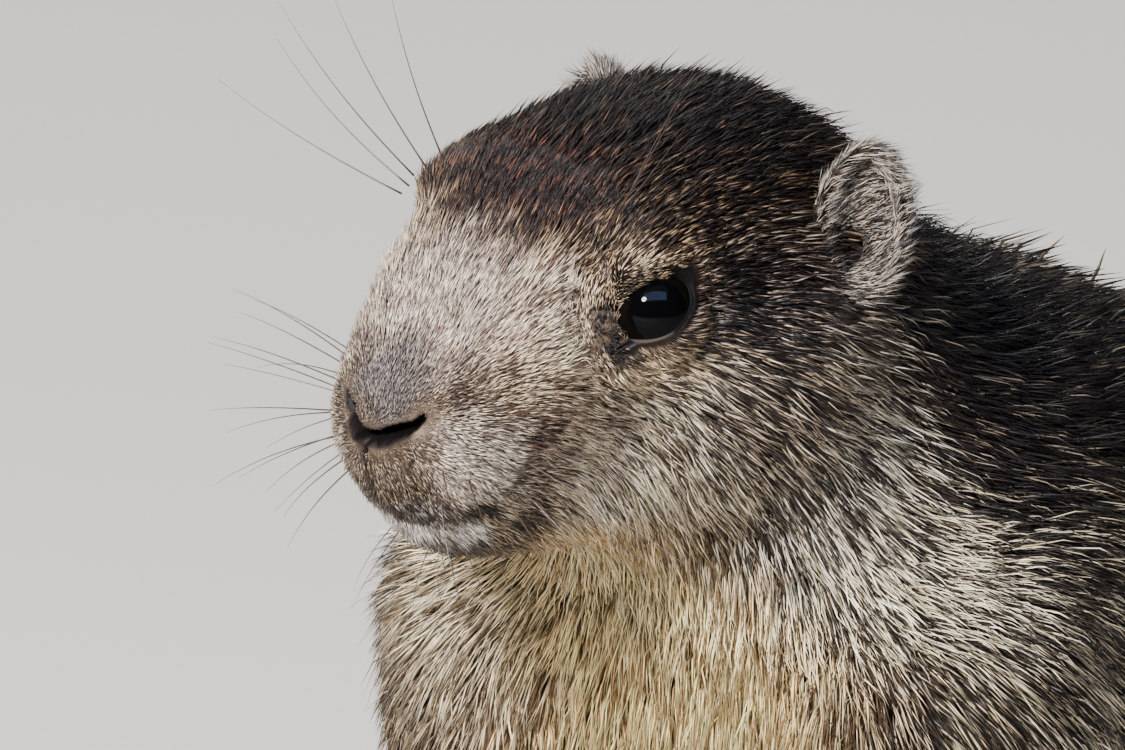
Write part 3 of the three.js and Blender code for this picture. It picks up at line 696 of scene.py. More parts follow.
def buildSkin():
    fleshNames = [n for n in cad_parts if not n.startswith(("claw_", "ear_"))]
    copies = []
    for name in fleshNames:
        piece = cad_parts[name].copy()
        piece.data = piece.data.copy()
        piece.parent = None
        for key in list(piece.keys()):
            del piece[key]
        bpy.context.scene.collection.objects.link(piece)
        copies.append(piece)
    skin = joinPieces(copies)
    skin.name = skin.data.name = "skin"
    bpy.ops.object.mode_set(mode="EDIT")
    bpy.ops.mesh.select_all(action="SELECT")
    bpy.ops.mesh.remove_doubles(threshold=2e-6)
    bpy.ops.object.mode_set(mode="OBJECT")
    remesh = skin.modifiers.new("wrap", "REMESH")
    remesh.mode = "VOXEL"
    remesh.voxel_size = skinWork["voxel"] * mm
    bpy.ops.object.modifier_apply(modifier=remesh.name)
    largestShell(skin.data)
    mesh = skin.data
    ends = edgeEnds(mesh)
    points = neighbourMean(pointsOf(mesh), ends, skinWork["pawSmooth"])
    soft = toBody(points)[:, 2] > skinWork["pawTop"]  # the paws keep their toes
    points = neighbourMean(points, ends, skinWork["smooth"] - skinWork["pawSmooth"], 0.5, soft)
    x, y, z = toBody(points).T
    fold = (np.abs(y - 66) < 26) & (np.abs(z - 84) < 24) & (np.abs(x) > 12)  # where arm meets chest
    points = neighbourMean(points, ends, skinWork["foldSmooth"], 0.5, fold)
    setPoints(mesh, points)
    way, length, lean = lieAt(points)
    across = 1 - np.sqrt(np.clip(1 - (way * normalsOf(mesh)).sum(1) ** 2, 0, 1))
    depth = length * np.sin(lean + across * skinDepth["standing"]) * skinDepth["share"]
    for _ in range(skinWork["steps"]):
        normals = normalsOf(mesh)
        points = pointsOf(mesh) - normals * (depth / skinWork["steps"])[:, None]
        setPoints(mesh, neighbourMean(points, ends, 2, 0.4, soft))

    def refineEyes(reach):
        for side in (1, -1):
            at = eyeFrame(side)[0]
            refine(skin, lambda head: np.linalg.norm(head - at, axis=1) < reach)

    refine(skin, lambda head: (head[:, 0] > -18) & (head[:, 2] > -22))
    refineEyes(13)
    refine(skin, lambda head: (head[:, 0] > -9) & (head[:, 2] < 8))
    refineEyes(10)
    ends = edgeEnds(mesh)
    near = toHead(pointsOf(mesh))[:, 0] > -52
    setPoints(mesh, neighbourMean(pointsOf(mesh), ends, 3, 0.5, near))
    head = toHead(pointsOf(mesh))
    moved, bare, bald = sculptFace(head, unit(normalsOf(mesh) @ headTurn))
    placed = fromHead(moved)
    placed[:, 2] = np.maximum(placed[:, 2], 0.1 * mm)
    setPoints(mesh, placed)
    paint(mesh, "bare", bare)
    paint(mesh, "bald", bald)
    paint(mesh, "earFace", np.zeros(len(mesh.vertices)))
    makeActive(joinPieces([skin, buildEar(1), buildEar(-1)]))
    bpy.ops.object.mode_set(mode="EDIT")
    bpy.ops.mesh.select_all(action="SELECT")
    bpy.ops.mesh.quads_convert_to_tris()
    bpy.ops.uv.smart_project(angle_limit=math.radians(66), island_margin=0.002)
    bpy.ops.object.mode_set(mode="OBJECT")
    mesh.uv_layers[0].name = "OFBake"
    mesh.polygons.foreach_set("use_smooth", np.ones(len(mesh.polygons), bool))
    mesh.materials.clear()
    return skin


skin = buildSkin()
print("skin:", len(skin.data.vertices), "points", len(skin.data.polygons), "triangles")


# bare paints hairless skin near-black: the lids' own dark skin, and painted shade inside the nostrils, the
# cleft, the mouth line and the ear canal
skinTints = {"roundEye": (24, 18, 17), "bald": (38, 30, 28), "bare": (8, 6, 6), "sole": (74, 54, 46)}


def skinMarks():
    mesh = skin.data
    points = pointsOf(mesh)
    head, body = toHead(points), toBody(points)
    dark, pale, share = markingsAt(points)
    # the skin is painted darker than the dark hairs, as painted shade between the hairs
    tint = dark * 0.75 + (pale - dark) * (share * 0.2)[:, None]
    for side in (1, -1):
        close = nearEye(head, side, 13)
        shade = 1 - smoothStep(4, 20, lidDistance(head[close], side)[0])
        tint[close] += (linear(skinTints["roundEye"]) - tint[close]) * shade[:, None]
    bare, bald, earFace = (valuesOf(mesh, name) for name in ("bare", "bald", "earFace"))
    tint += (linear(skinTints["bald"]) - tint) * bald[:, None]
    # painted shade: the skin in the ear's canal is painted near-black
    hole = canalAt(head) * (earFace > 0.5) * (earFace < 1.5)
    tint[earFace > 0.5] = linear(ears["skinTint"])
    bare = np.maximum(bare, hole)
    bald = np.maximum(bald, hole)
    # painted shade: near-black where the bare mask holds, in the nostrils, the cleft, the mouth line and the
    # ear canal, besides the lids' own dark skin
    tint += (linear(skinTints["bare"]) - tint) * bare[:, None]
    sole = (1 - smoothStep(0.8, 2.2, body[:, 2])) * (np.abs(body[:, 0]) > 20)
    tint += (linear(skinTints["sole"]) - tint) * sole[:, None]
    paint(mesh, "markings", tint, "FLOAT_COLOR")
    bare = np.maximum(bare, sole)
    mesh.attributes["bare"].data.foreach_set("value", bare.astype(np.float32))
    return np.maximum(bare, bald)


bareSkin = skinMarks()


def newMaterial(name):
    material = bpy.data.materials.new(name)
    material.use_nodes = True
    tree = material.node_tree
    shader = tree.nodes["Principled BSDF"]
    return material, tree, shader


def node(tree, kind, **values):
    made = tree.nodes.new(kind)
    for key, value in values.items():
        setattr(made, key, value)
    return made


def attributeNode(tree, name):
    return node(tree, "ShaderNodeAttribute", attribute_name=name)


def objectGrain(tree, size, detail=2):  # a fine noise fixed to the piece
    grain = node(tree, "ShaderNodeTexNoise")
    grain.inputs["Scale"].default_value = size
    grain.inputs["Detail"].default_value = detail
    tree.links.new(node(tree, "ShaderNodeTexCoord").outputs["Object"], grain.inputs["Vector"])
    return grain.outputs["Fac"]


def mapRange(tree, value, fromLow, fromHigh, low, high, kind="LINEAR"):
    spread = node(tree, "ShaderNodeMapRange", interpolation_type=kind)
    numbers = {"From Min": fromLow, "From Max": fromHigh, "To Min": low, "To Max": high}
    for key, number in numbers.items():
        spread.inputs[key].default_value = number
    tree.links.new(value, spread.inputs["Value"])
    return spread.outputs["Result"]


def mixColours(tree, share, first, second):
    mix = node(tree, "ShaderNodeMix", data_type="RGBA")
    for place, value in ((0, share), (6, first), (7, second)):
        if isinstance(value, bpy.types.NodeSocket):
            tree.links.new(value, mix.inputs[place])
        else:
            mix.inputs[place].default_value = value
    return mix.outputs[2]


def multiply(tree, first, second):
    shade = mixColours(tree, 1, first, second)
    shade.node.blend_type = "MULTIPLY"
    return shade


def addBump(tree, shader, height, strength, depth):
    bump = node(tree, "ShaderNodeBump")
    bump.inputs["Strength"].default_value = strength
    bump.inputs["Distance"].default_value = depth
    tree.links.new(height, bump.inputs["Height"])
    tree.links.new(bump.outputs["Normal"], shader.inputs["Normal"])


def colourRamp(tree, shader, value, stops):
    ramp = node(tree, "ShaderNodeValToRGB")
    while len(ramp.color_ramp.elements) < len(stops):
        ramp.color_ramp.elements.new(0.5)
    for element, (where, colour) in zip(ramp.color_ramp.elements, stops):
        element.position = where
        element.color = (*linear(colour), 1)
    tree.links.new(value, ramp.inputs["Fac"])
    tree.links.new(ramp.outputs["Color"], shader.inputs["Base Color"])


def skinMaterial():
    look = {"rough": 0.7, "wet": 0.5, "grain": 620, "bump": 0.35, "depth": 0.0006, "shine": 0.1}
    material, tree, shader = newMaterial("skinUnderCoat")
    grain = objectGrain(tree, look["grain"], 5)
    shade = mapRange(tree, grain, 0.3, 0.7, 0.45, 1.1)
    marks = attributeNode(tree, "markings").outputs["Color"]
    tree.links.new(multiply(tree, marks, shade), shader.inputs["Base Color"])
    bare = attributeNode(tree, "bare").outputs["Fac"]
    rough = mapRange(tree, bare, 0, 1, look["rough"], look["wet"])
    tree.links.new(rough, shader.inputs["Roughness"])
    addBump(tree, shader, grain, look["bump"], look["depth"])
    shader.inputs["Specular IOR Level"].default_value = look["shine"]
    return material


skin.data.materials.append(skinMaterial())
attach(skin, "root")
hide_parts(*[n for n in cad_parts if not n.startswith(("eye_", "claw_"))])


coats = {  # tufts to a square mm, width in mm, rings along each tuft, clumping, slot
    "face": {"thick": 8.8, "wide": 0.21, "rings": 1, "clump": 0.10, "slot": "face_coat"},
    "crown": {"thick": 5.8, "wide": 0.28, "rings": 1, "clump": 0.15, "slot": "crown_coat"},
    "cheek": {"thick": 5.4, "wide": 0.26, "rings": 1, "clump": 0.2, "slot": "face_coat"},
    "neck": {"thick": 3.3, "wide": 0.27, "rings": 2, "clump": 0.25, "slot": "mantle_coat"},
    "chest": {"thick": 2.9, "wide": 0.29, "rings": 1, "clump": 0.3, "slot": "flank_coat"},
    "shoulder": {"thick": 2.2, "wide": 0.3, "rings": 1, "clump": 0.3, "slot": "mantle_coat"},
    "back": {"thick": 0.8, "wide": 0.62, "rings": 1, "clump": 0.35, "slot": "back_coat"},
    "flank": {"thick": 0.75, "wide": 0.64, "rings": 1, "clump": 0.35, "slot": "flank_coat"},
    "leg": {"thick": 1.6, "wide": 0.42, "rings": 1, "clump": 0.15, "slot": "leg_coat"},
    "tail": {"thick": 0.9, "wide": 0.62, "rings": 1, "clump": 0.3, "slot": "tail_coat"},
    "ear": {"thick": 17, "wide": 0.14, "rings": 1, "clump": 0.12, "slot": "ear_coat"},
}
coatNames = list(coats)
denser = {  # how much more hair grows near the nose, round the eyes and on the paws, mm
    "nose": 0.5, "noseReach": 9, "eyes": 0.8, "eyeReach": (8.5, 12), "paws": 0.5, "pawTop": (12, 18),
}


def coatAt(points, earFace):  # which coat grows at each point
    head, body = toHead(points), toBody(points)
    kind = np.full(len(points), coatNames.index("flank"))

    def mark(name, where):
        kind[where] = coatNames.index(name)

    x, y, z = body.T
    mark("back", z > 62)
    mark("shoulder", y < 112)
    mark("chest", (y < 78) & (np.abs(x) < 26) | (y < 66) & (z > 40))
    mark("leg", (z < 34) & (np.abs(x) > 18) & (y < 84))
    mark("leg", (z < 19) & (np.abs(x) > 26) & (y > 130) & (y < 226))
    mark("tail", y > 248)
    a, b, c = head.T
    mark("neck", (y < 92) & (z > 84))
    mark("cheek", (a > -66) & (c > -24) & (y < 70))
    mark("crown", (a > -72) & (c > 16) & (y < 76))
    mark("face", a > -30)
    mark("ear", earFace > 0.5)
    return kind


def skinSamples():  # roots spread evenly over the skin by each coat's thickness
    mesh = skin.data
    mesh.calc_loop_triangles()
    count = len(mesh.loop_triangles)
    corners = np.empty(count * 3, np.int32)
    mesh.loop_triangles.foreach_get("vertices", corners)
    corners = corners.reshape(-1, 3)
    loops = np.empty(count * 3, np.int32)
    mesh.loop_triangles.foreach_get("loops", loops)
    loops = loops.reshape(-1, 3)
    flat = np.empty(len(mesh.loops) * 2, np.float32)
    mesh.uv_layers["OFBake"].data.foreach_get("uv", flat)
    uv = flat.reshape(-1, 2)
    points, normals = pointsOf(mesh), normalsOf(mesh)
    earFace = valuesOf(mesh, "earFace")
    a, b, c = points[corners[:, 0]], points[corners[:, 1]], points[corners[:, 2]]
    area = np.linalg.norm(np.cross(b - a, c - a), axis=1) / 2 / mm ** 2
    middle = (a + b + c) / 3
    kind = coatAt(middle, earFace[corners].mean(1))
    thick = np.array([coats[n]["thick"] for n in coatNames])[kind]
    thick = thick * (1 - smoothStep(0.25, 0.7, bareSkin[corners].mean(1)))
    head = toHead(middle)
    near = np.exp(-(head[:, 0] / denser["noseReach"]) ** 2) * (np.abs(head[:, 0]) < 20)
    thick = thick * (1 + denser["nose"] * near)
    for side in (1, -1):
        apart = np.linalg.norm(head - eyeFrame(side)[0], axis=1)
        thick = thick * (1 + denser["eyes"] * (1 - smoothStep(*denser["eyeReach"], apart)))
    paws = (kind == coatNames.index("leg")) * (1 - smoothStep(*denser["pawTop"], toBody(middle)[:, 2]))
    thick = thick * (1 + denser["paws"] * paws)
    total = np.cumsum(area * thick)
    number = int(total[-1])
    pick = np.searchsorted(total, (np.arange(number) + rng.random(number)) / number * total[-1])
    pick = np.clip(pick, 0, count - 1)
    u, v = rng.random(number), rng.random(number)
    over = u + v > 1
    u[over], v[over] = 1 - u[over], 1 - v[over]
    share = np.stack([1 - u - v, u, v], 1)
    at = (points[corners[pick]] * share[:, :, None]).sum(1)
    out = unit((normals[corners[pick]] * share[:, :, None]).sum(1))
    patch = (uv[loops[pick]] * share[:, :, None]).sum(1)
    return at, out, patch, kind[pick], (earFace[corners[pick]] * share).sum(1)


def earLie(at, face):  # hair on the ears streams back and up from the front edge
    head = toHead(at)
    way = np.empty_like(at)
    for side in (1, -1):
        mine = head[:, 1] * side > 0
        middle, look, across, up = earFrame(side)
        local = head[mine] - middle
        high = local @ up / ears["height"] * 2
        fore = np.clip(local @ across / ears["width"] * 2, -1, 1)
        inner = -across[None, :] + up[None, :] * (0.62 - 0.75 * high ** 2)[:, None]
        outer = np.tile(up * 0.55 - across, (mine.sum(), 1))
        rim = (look[None, :] * 0.5 + up[None, :] * 0.8) * np.maximum(fore, 0)[:, None]
        rim = rim - across[None, :] * (0.3 + np.maximum(high, 0))[:, None] + up[None, :] * 0.35
        edge = np.exp(-((face[mine] - 1.5) / 0.4) ** 2)[:, None]
        flow = np.where((face[mine] < 1.5)[:, None], inner, outer)
        way[mine] = (flow + (rim - flow) * edge) @ headTurn.T
    return unit(way)


def partRoundEyes(at, way):  # turns hair away that would grow towards an eye
    head, turned = toHead(at), way @ headTurn
    for side in (1, -1):
        middle = eyeFrame(side)[0]
        close = nearEye(head, side, 14)
        if not len(close):
            continue
        off, far = lidDistance(head[close], side)
        away = unit(head[close] - middle - unit(eyeFrame(side)[1]) * 5)
        inward = (turned[close] * away).sum(1)
        push = np.maximum(-inward, 0) * (1 - smoothStep(10, 30, off))
        turned[close] += away * push[:, None]
    return unit(turned) @ headTurn.T


def clearOfEyes(at, chord):  # shortens the tufts whose tips would lie over an eye
    head = toHead(at)
    scale = np.ones(len(at))
    for side in (1, -1):
        middle = eyeFrame(side)[0]
        close = nearEye(head, side, 13)
        if not len(close):
            continue
        start, reach = head[close], chord[close] @ headTurn / mm
        off = lidDistance(start, side)[0]
        size = 0.75 + 0.25 * smoothStep(3, 18, off)
        fore = smoothStep(0.7, 0.95, unit(start - middle) @ eyeFrame(side)[2])
        for share in (0.85, 0.7, 0.55):
            tipOff = lidDistance(start + reach * size[:, None], side)[0]
            size = np.where(tipOff - 3 * fore < 0, np.minimum(size, share), size)
        scale[close] = np.minimum(scale[close], size)
    return scale


tuftShapes = {  # for one ring and two: ring places and sizes, faces, places along and in the patch
    1: {
        "stops": [(0.34, 1.0)],
        "faces": [(1, 2, 4), (2, 3, 4), (3, 1, 4), (2, 1, 0), (3, 2, 0), (1, 3, 0)],
        "along": [0, 0.34, 0.34, 0.34, 1],
        "patch": [(0.5, 0), (0, 0.4), (0.5, 0.55), (1, 0.4), (0.5, 1)],
    },
    2: {
        "stops": [(0.24, 1.0), (0.64, 0.66)],
        "faces": [(2, 1, 0), (3, 2, 0), (1, 3, 0), (4, 5, 7), (5, 6, 7), (6, 4, 7),
                  (1, 2, 5), (1, 5, 4), (2, 3, 6), (2, 6, 5), (3, 1, 4), (3, 4, 6)],
        "along": [0, 0.24, 0.24, 0.24, 0.64, 0.64, 0.64, 1],
        "patch": [(0.5, 0), (0, 0.3), (0.5, 0.4), (1, 0.3), (0.2, 0.7), (0.5, 0.75), (0.8, 0.7), (0.5, 1)],
    },
}
growth = {
    "bend": 0.16, "scatter": 0.09, "strays": 0.05, "strayLean": 0.22, "strayLength": 1.12,
    "lean": (0.7, 1.35), "length": (0.72, 1.18), "standing": 0.5, "width": (0.7, 1.3), "slim": 0.17,
    "clumpOf": 9, "clump": (0.2, 1.3), "arch": 1.2, "sway": 0.16, "flat": 0.7,
    "rootDeep": 0.12, "rootBack": 0.06, "tipClear": 0.4, "clear": 0.1, "rootClear": 1.2, "patch": 0.003,
    "mostTriangles": 195000,
}


def tuftLie(name, at, face):
    way, length, lean = lieAt(at)
    if name == "ear":
        rim = (face - 1.5) / 0.4
        way = earLie(at, face)
        length = ears["hair"] * mm * (1 - ears["canalHair"] * canalAt(toHead(at), 2.4))
        length = length * (1 - ears["rimHair"] * np.exp(-rim ** 2))
        lean = np.where(face < 1.5, math.radians(12), math.radians(9))
        lean = np.where(np.abs(face - 1.5) < 0.45, math.radians(14), lean)
    if name in ("face", "crown", "cheek"):
        way = partRoundEyes(at, way)
    way = way + wander(at, 5, 11) * growth["bend"] + rng.normal(0, growth["scatter"], at.shape)
    return way, length, lean


def clumped(tip, clump):  # draws the tips of neighbours together
    count = len(tip)
    leaders = rng.choice(count, max(1, count // growth["clumpOf"]), replace=False)
    tree = KDTree(len(leaders))
    for k, i in enumerate(leaders):
        tree.insert(tip[i], k)
    tree.balance()
    mate = np.array([leaders[tree.find(p)[1]] for p in tip])
    pull = clump * rng.uniform(*growth["clump"], count)
    return tip + (tip[mate] - tip) * pull[:, None]


def tuftTints(name, at, face):  # each tuft is a dark or a pale one, pale ones stay dark near the skin and all darken towards it, partly the hairs' dark bases and partly painted shade deep in the coat
    dark, pale, share = markingsAt(at)
    if name == "ear":
        dark = np.tile(linear(ears["darkTint"]), (len(at), 1))
        pale = np.tile(linear(ears["paleTint"]), (len(at), 1))
        share = np.where(face < 1.5, *ears["paleShare"])
        # painted shade: hair at the ear's canal is darkened
        canalShade = canalAt(toHead(at), 1.8)[:, None]
        dark = dark * (1 - 0.8 * canalShade)
        pale = pale * (1 - 0.85 * canalShade)
    drift = waves(at, 4 * mm, 51) * 0.16
    isPale = rng.random(len(at)) < np.clip(share + drift * (share > 0.05), 0, 1)
    light = rng.normal(1, 0.22, len(at)).clip(0.4, 1.6)[:, None]
    warm = 1 + rng.normal(0, 0.05, len(at))[:, None] * np.array([1, 0.2, -1])
    tip = np.where(isPale[:, None], pale, dark) * light * warm
    # painted shade: the root colour is darker than the tip, partly the hairs' dark bases
    root = np.where(isPale[:, None], dark * 0.6 + pale * 0.05, dark * 0.55) * light
    return np.clip(tip, 0, 1), np.clip(root, 0, 1)


def tufts(name, at, out, patch, face):
    coat = coats[name]
    count = len(at)
    way, length, lean = tuftLie(name, at, face)
    down = way - (way * out).sum(1)[:, None] * out
    flat = np.linalg.norm(down, axis=1)
    down = unit(down)
    stray = rng.random(count) < growth["strays"]
    lean = lean * rng.uniform(*growth["lean"], count) + np.where(stray, growth["strayLean"], 0)
    if name != "ear":
        lean = lean + (1 - np.clip(flat, 0, 1)) * growth["standing"]
    length = length * rng.uniform(*growth["length"], count) * np.where(stray, growth["strayLength"], 1)
    chord = (down * np.cos(lean)[:, None] + out * np.sin(lean)[:, None]) * length[:, None]
    if name in ("face", "crown", "cheek"):
        shorter = clearOfEyes(at, chord) * (0.4 + 0.6 * smoothStep(1.2, 3.2, slitDistance(toHead(at))))
        chord = chord * shorter[:, None]
        length = length * shorter
    tip = clumped(at + chord, coat["clump"])
    tip[:, 2] = np.maximum(tip[:, 2], growth["tipClear"] * mm)
    chord = tip - at
    arch = out * (length * np.sin(lean) * growth["arch"])[:, None]
    side = unit(np.cross(down, out))
    sway = side * (length * rng.normal(0, growth["sway"], count))[:, None]
    widths = coat["wide"] * mm * rng.uniform(*growth["width"], count)
    widths = np.minimum(widths, length * growth["slim"]) * (0.8 if name == "face" else 1)
    spin = rng.uniform(0, 2.09, count)
    shape = tuftShapes[coat["rings"]]
    rows = [at - out * (growth["rootDeep"] * length)[:, None] - chord * growth["rootBack"]]
    for t, scale in shape["stops"]:
        centre = at + chord * t + (arch + sway) * (t - t * t)
        heading = unit(chord + (arch + sway) * (1 - 2 * t))
        rise = unit(np.cross(side, heading))
        rise = np.where(((rise * out).sum(1) < 0)[:, None], -rise, rise)
        across = np.cross(rise, heading)
        for k in range(3):
            turn = spin + k * 2 * math.pi / 3
            ring = across * np.cos(turn)[:, None] + rise * (growth["flat"] * np.sin(turn))[:, None]
            rows.append(centre + ring * (widths * 0.5 * scale)[:, None])
    rows.append(tip)
    points = np.stack(rows, 1)
    points[:, :, 2] = np.maximum(points[:, :, 2], growth["clear"] * mm)
    each = points.shape[1]
    faces = np.array(shape["faces"])[None] + (np.arange(count) * each)[:, None, None]
    faces = faces.reshape(-1, 3)
    tipTint, rootTintAndShade = tuftTints(name, at, face)
    piece = newMesh("coat" + name.capitalize(), points.reshape(-1, 3), faces)
    mesh = piece.data
    paint(mesh, "tipTint", np.repeat(tipTint, each, 0), "FLOAT_COLOR")
    paint(mesh, "rootTintAndShade", np.repeat(rootTintAndShade, each, 0), "FLOAT_COLOR")
    paint(mesh, "along", np.tile(shape["along"], count))
    spread = (np.array(shape["patch"]) - 0.5) * growth["patch"]
    patches = (patch[:, None, :] + spread[None]).reshape(-1, 2)
    layer = mesh.uv_layers.new(name="OFBake")
    layer.data.foreach_set("uv", patches[faces.ravel()].astype(np.float32).ravel())
    print("coat", name, count, "tufts", len(faces), "triangles")
    return piece


def hairMaterial(name, look):
    material, tree, shader = newMaterial(name)
    tip, root = (attributeNode(tree, key).outputs["Color"] for key in ("tipTint", "rootTintAndShade"))
    along = attributeNode(tree, "along").outputs["Fac"]
    # the fade runs from the darker root colour, partly painted shade, to the tip colour
    fade = mapRange(tree, along, look["dark"], look["light"], 0, 1, "SMOOTHSTEP")
    shade = mapRange(tree, objectGrain(tree, look["grain"], 3), 0.3, 0.7, 0.78, 1.18)
    hair = multiply(tree, mixColours(tree, fade, root, tip), shade)
    tree.links.new(hair, shader.inputs["Base Color"])
    shader.inputs["Roughness"].default_value = look["rough"]
    shader.inputs["Specular IOR Level"].default_value = look["shine"]
    return material


# dark and light: where along a tuft the fade from the root colour, partly painted shade, to the tip colour
# starts and ends
hairLooks = {
    "face": {"rough": 0.5, "shine": 0.4, "dark": 0.15, "light": 0.6, "grain": 500},
    "crown": {"rough": 0.55, "shine": 0.14, "dark": 0.2, "light": 0.7, "grain": 400},
    "mantle": {"rough": 0.48, "shine": 0.24, "dark": 0.15, "light": 0.6, "grain": 350},
    "back": {"rough": 0.5, "shine": 0.2, "dark": 0.25, "light": 0.75, "grain": 260},
    "leg": {"rough": 0.6, "shine": 0.3, "dark": 0.05, "light": 0.5, "grain": 320},
    "tail": {"rough": 0.5, "shine": 0.35, "dark": 0.2, "light": 0.7, "grain": 260},
    "ear": {"rough": 0.5, "shine": 0.4, "dark": 0.1, "light": 0.5, "grain": 420},
}
hairOf = {
    "face": "face", "crown": "crown", "cheek": "face", "neck": "mantle", "chest": "mantle",
    "shoulder": "mantle", "back": "back", "flank": "back", "leg": "leg", "tail": "tail",
    "ear": "ear",
}
hairs = {key: hairMaterial(key + "Hair", look) for key, look in hairLooks.items()}


def growCoat():
    samples = skinSamples()
    clear = toBody(samples[0])[:, 2] > growth["rootClear"]
    at, out, patch, kind, face = (values[clear] for values in samples)
    total = 0
    for index, name in enumerate(coatNames):
        mine = np.nonzero(kind == index)[0]
        if not len(mine):
            continue
        limit = growth["mostTriangles"] // len(tuftShapes[coats[name]["rings"]]["faces"])
        parts = int(math.ceil(len(mine) / limit))
        order = np.argsort(at[mine][:, 1 if name == "face" else 0], kind="stable")
        for k, chosen in enumerate(np.array_split(mine[order], parts)):
            chosen = np.sort(chosen)
            piece = tufts(name, at[chosen], out[chosen], patch[chosen], face[chosen])
            if parts > 1:
                piece.name = piece.data.name = "coat" + name.capitalize() + str(k + 1)
            piece.data.materials.append(hairs[hairOf[name]])
            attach(piece, "root")
            total += len(piece.data.polygons)
    print("coat: all", total, "triangles")


growCoat()


def eyeMaterial(name, centre, gaze):
    look = {
        "pupil": (3, 3, 4), "iris": (9, 7, 6), "rim": (4, 3, 3), "rough": 0.5, "wet": 0.13, "polish": 0.01,
    }
    stops = [(0.28, "rim"), (0.36, "rim"), (0.46, "rim"), (0.52, "iris"), (0.8, "iris"), (0.86, "pupil")]
    material, tree, shader = newMaterial(name)
    shift = node(tree, "ShaderNodeMapping")
    shift.inputs["Location"].default_value = [-c for c in centre]
    tree.links.new(node(tree, "ShaderNodeTexCoord").outputs["Object"], shift.inputs["Vector"])
    dot = node(tree, "ShaderNodeVectorMath", operation="DOT_PRODUCT")
    dot.inputs[1].default_value = [g / (eyes["radius"] * mm) for g in gaze]
    tree.links.new(shift.outputs["Vector"], dot.inputs[0])
    fibre = node(tree, "ShaderNodeTexNoise")
    fibre.inputs["Scale"].default_value = 900
    fibre.inputs["Detail"].default_value = 4
    tree.links.new(shift.outputs["Vector"], fibre.inputs["Vector"])
    sway = node(tree, "ShaderNodeMath", operation="MULTIPLY_ADD")
    sway.inputs[1].default_value = 0.05
    tree.links.new(fibre.outputs["Fac"], sway.inputs[0])
    tree.links.new(dot.outputs["Value"], sway.inputs[2])
    colourRamp(tree, shader, sway.outputs["Value"], [(where, look[key]) for where, key in stops])
    shader.inputs["Roughness"].default_value = look["rough"]
    shader.inputs["Specular IOR Level"].default_value = 0.0
    shader.inputs["Coat Weight"].default_value = look["wet"]
    shader.inputs["Coat Roughness"].default_value = look["polish"]
    return material


def buildEye(side, name):
    centre, gaze, front, up = eyeFrame(side)
    place = fromHead(centre)
    forward = unit(headTurn @ unit(gaze + front * 0.15))
    deselectAll()
    bpy.ops.mesh.primitive_uv_sphere_add(
        segments=64, ring_count=40, radius=eyes["radius"] * mm, location=place,
        rotation=Vector(forward).to_track_quat("Z", "Y").to_euler(),
    )
    piece = bpy.context.active_object
    bpy.ops.object.transform_apply(location=True, rotation=True, scale=True)
    piece.name = piece.data.name = name
    points = pointsOf(piece.data)
    out = unit(points - place)
    bulge = eyes["bulge"] * mm * smoothStep(0.62, 0.92, out @ forward)
    setPoints(piece.data, points + out * bulge[:, None])
    bpy.ops.object.shade_smooth()
    piece.data.materials.append(eyeMaterial(name + "Look", place, forward))
    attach(piece, "root")
    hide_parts("eye_left" if side > 0 else "eye_right")


def lidMaterial():
    look = {"dark": (7, 6, 6), "grey": (58, 49, 45), "rough": 0.7, "shine": 0.06}
    material, tree, shader = newMaterial("lidMargin")
    grey = attributeNode(tree, "grey").outputs["Fac"]
    dark, light = ((*linear(look[key]), 1) for key in ("dark", "grey"))
    tree.links.new(mixColours(tree, grey, dark, light), shader.inputs["Base Color"])
    addBump(tree, shader, objectGrain(tree, 1500), 0.3, 0.0002)
    shader.inputs["Roughness"].default_value = look["rough"]
    shader.inputs["Specular IOR Level"].default_value = look["shine"]
    return material


lidEdge = [  # across the lid and out from the eye, mm, from the eye's side to the fur's
    (-0.2, -0.5), (-0.12, 0.08), (0.08, 0.3), (0.4, 0.42), (0.8, 0.36), (1.1, 0.1), (1.2, -0.6), (0.4, -1.1),
]
lidGrey = [0, 0.3, 1, 1, 0.6, 0.2, 0, 0]


def buildLids(side, name, material):
    centre, gaze, front, up = eyeFrame(side)
    loop = np.radians(openingLoop(120))
    way = (np.cos(loop[:, 1]) * np.cos(loop[:, 0]))[:, None] * gaze
    way = way + (np.cos(loop[:, 1]) * np.sin(loop[:, 0]))[:, None] * front
    way = unit(way + np.sin(loop[:, 1])[:, None] * up)
    along = unit(np.roll(way, -1, 0) - np.roll(way, 1, 0))
    off = unit(np.cross(along, way))
    middle = unit(way.mean(0))
    off = np.where(((off @ middle) > 0)[:, None], -off, off)
    ahead, high = np.degrees(loop).T
    wide = 0.85 - 0.35 * smoothStep(60, 88, ahead) + 0.25 * smoothStep(-20, -48, ahead) * (high > 0)
    wide = wide * np.where(high < -20, 0.8, 1)
    rows = []
    for a, b in lidEdge:
        rows.append(centre + way * (eyes["radius"] + b) + off * (a * wide)[:, None])
    points = fromHead(np.stack(rows, 1).reshape(-1, 3))
    count, each = len(way), len(lidEdge)
    triangles = []
    for i in range(count):
        n = (i + 1) % count
        for k in range(each):
            m = (k + 1) % each
            here, there = i * each, n * each
            triangles += [(here + k, there + k, there + m), (here + k, there + m, here + m)]
    piece = newMesh(name, points, triangles)
    grey = np.repeat(smoothStep(-24, -34, high) * smoothStep(72, 50, ahead), each)
    paint(piece.data, "grey", grey * np.tile(lidGrey, count))
    turnOutwards(piece)
    piece.data.materials.append(material)
    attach(piece, "root")


lidLook = lidMaterial()
for side, word in ((1, "Left"), (-1, "Right")):
    buildEye(side, "eye" + word)
    buildLids(side, "lids" + word, lidLook)
print("eyes and lids done")


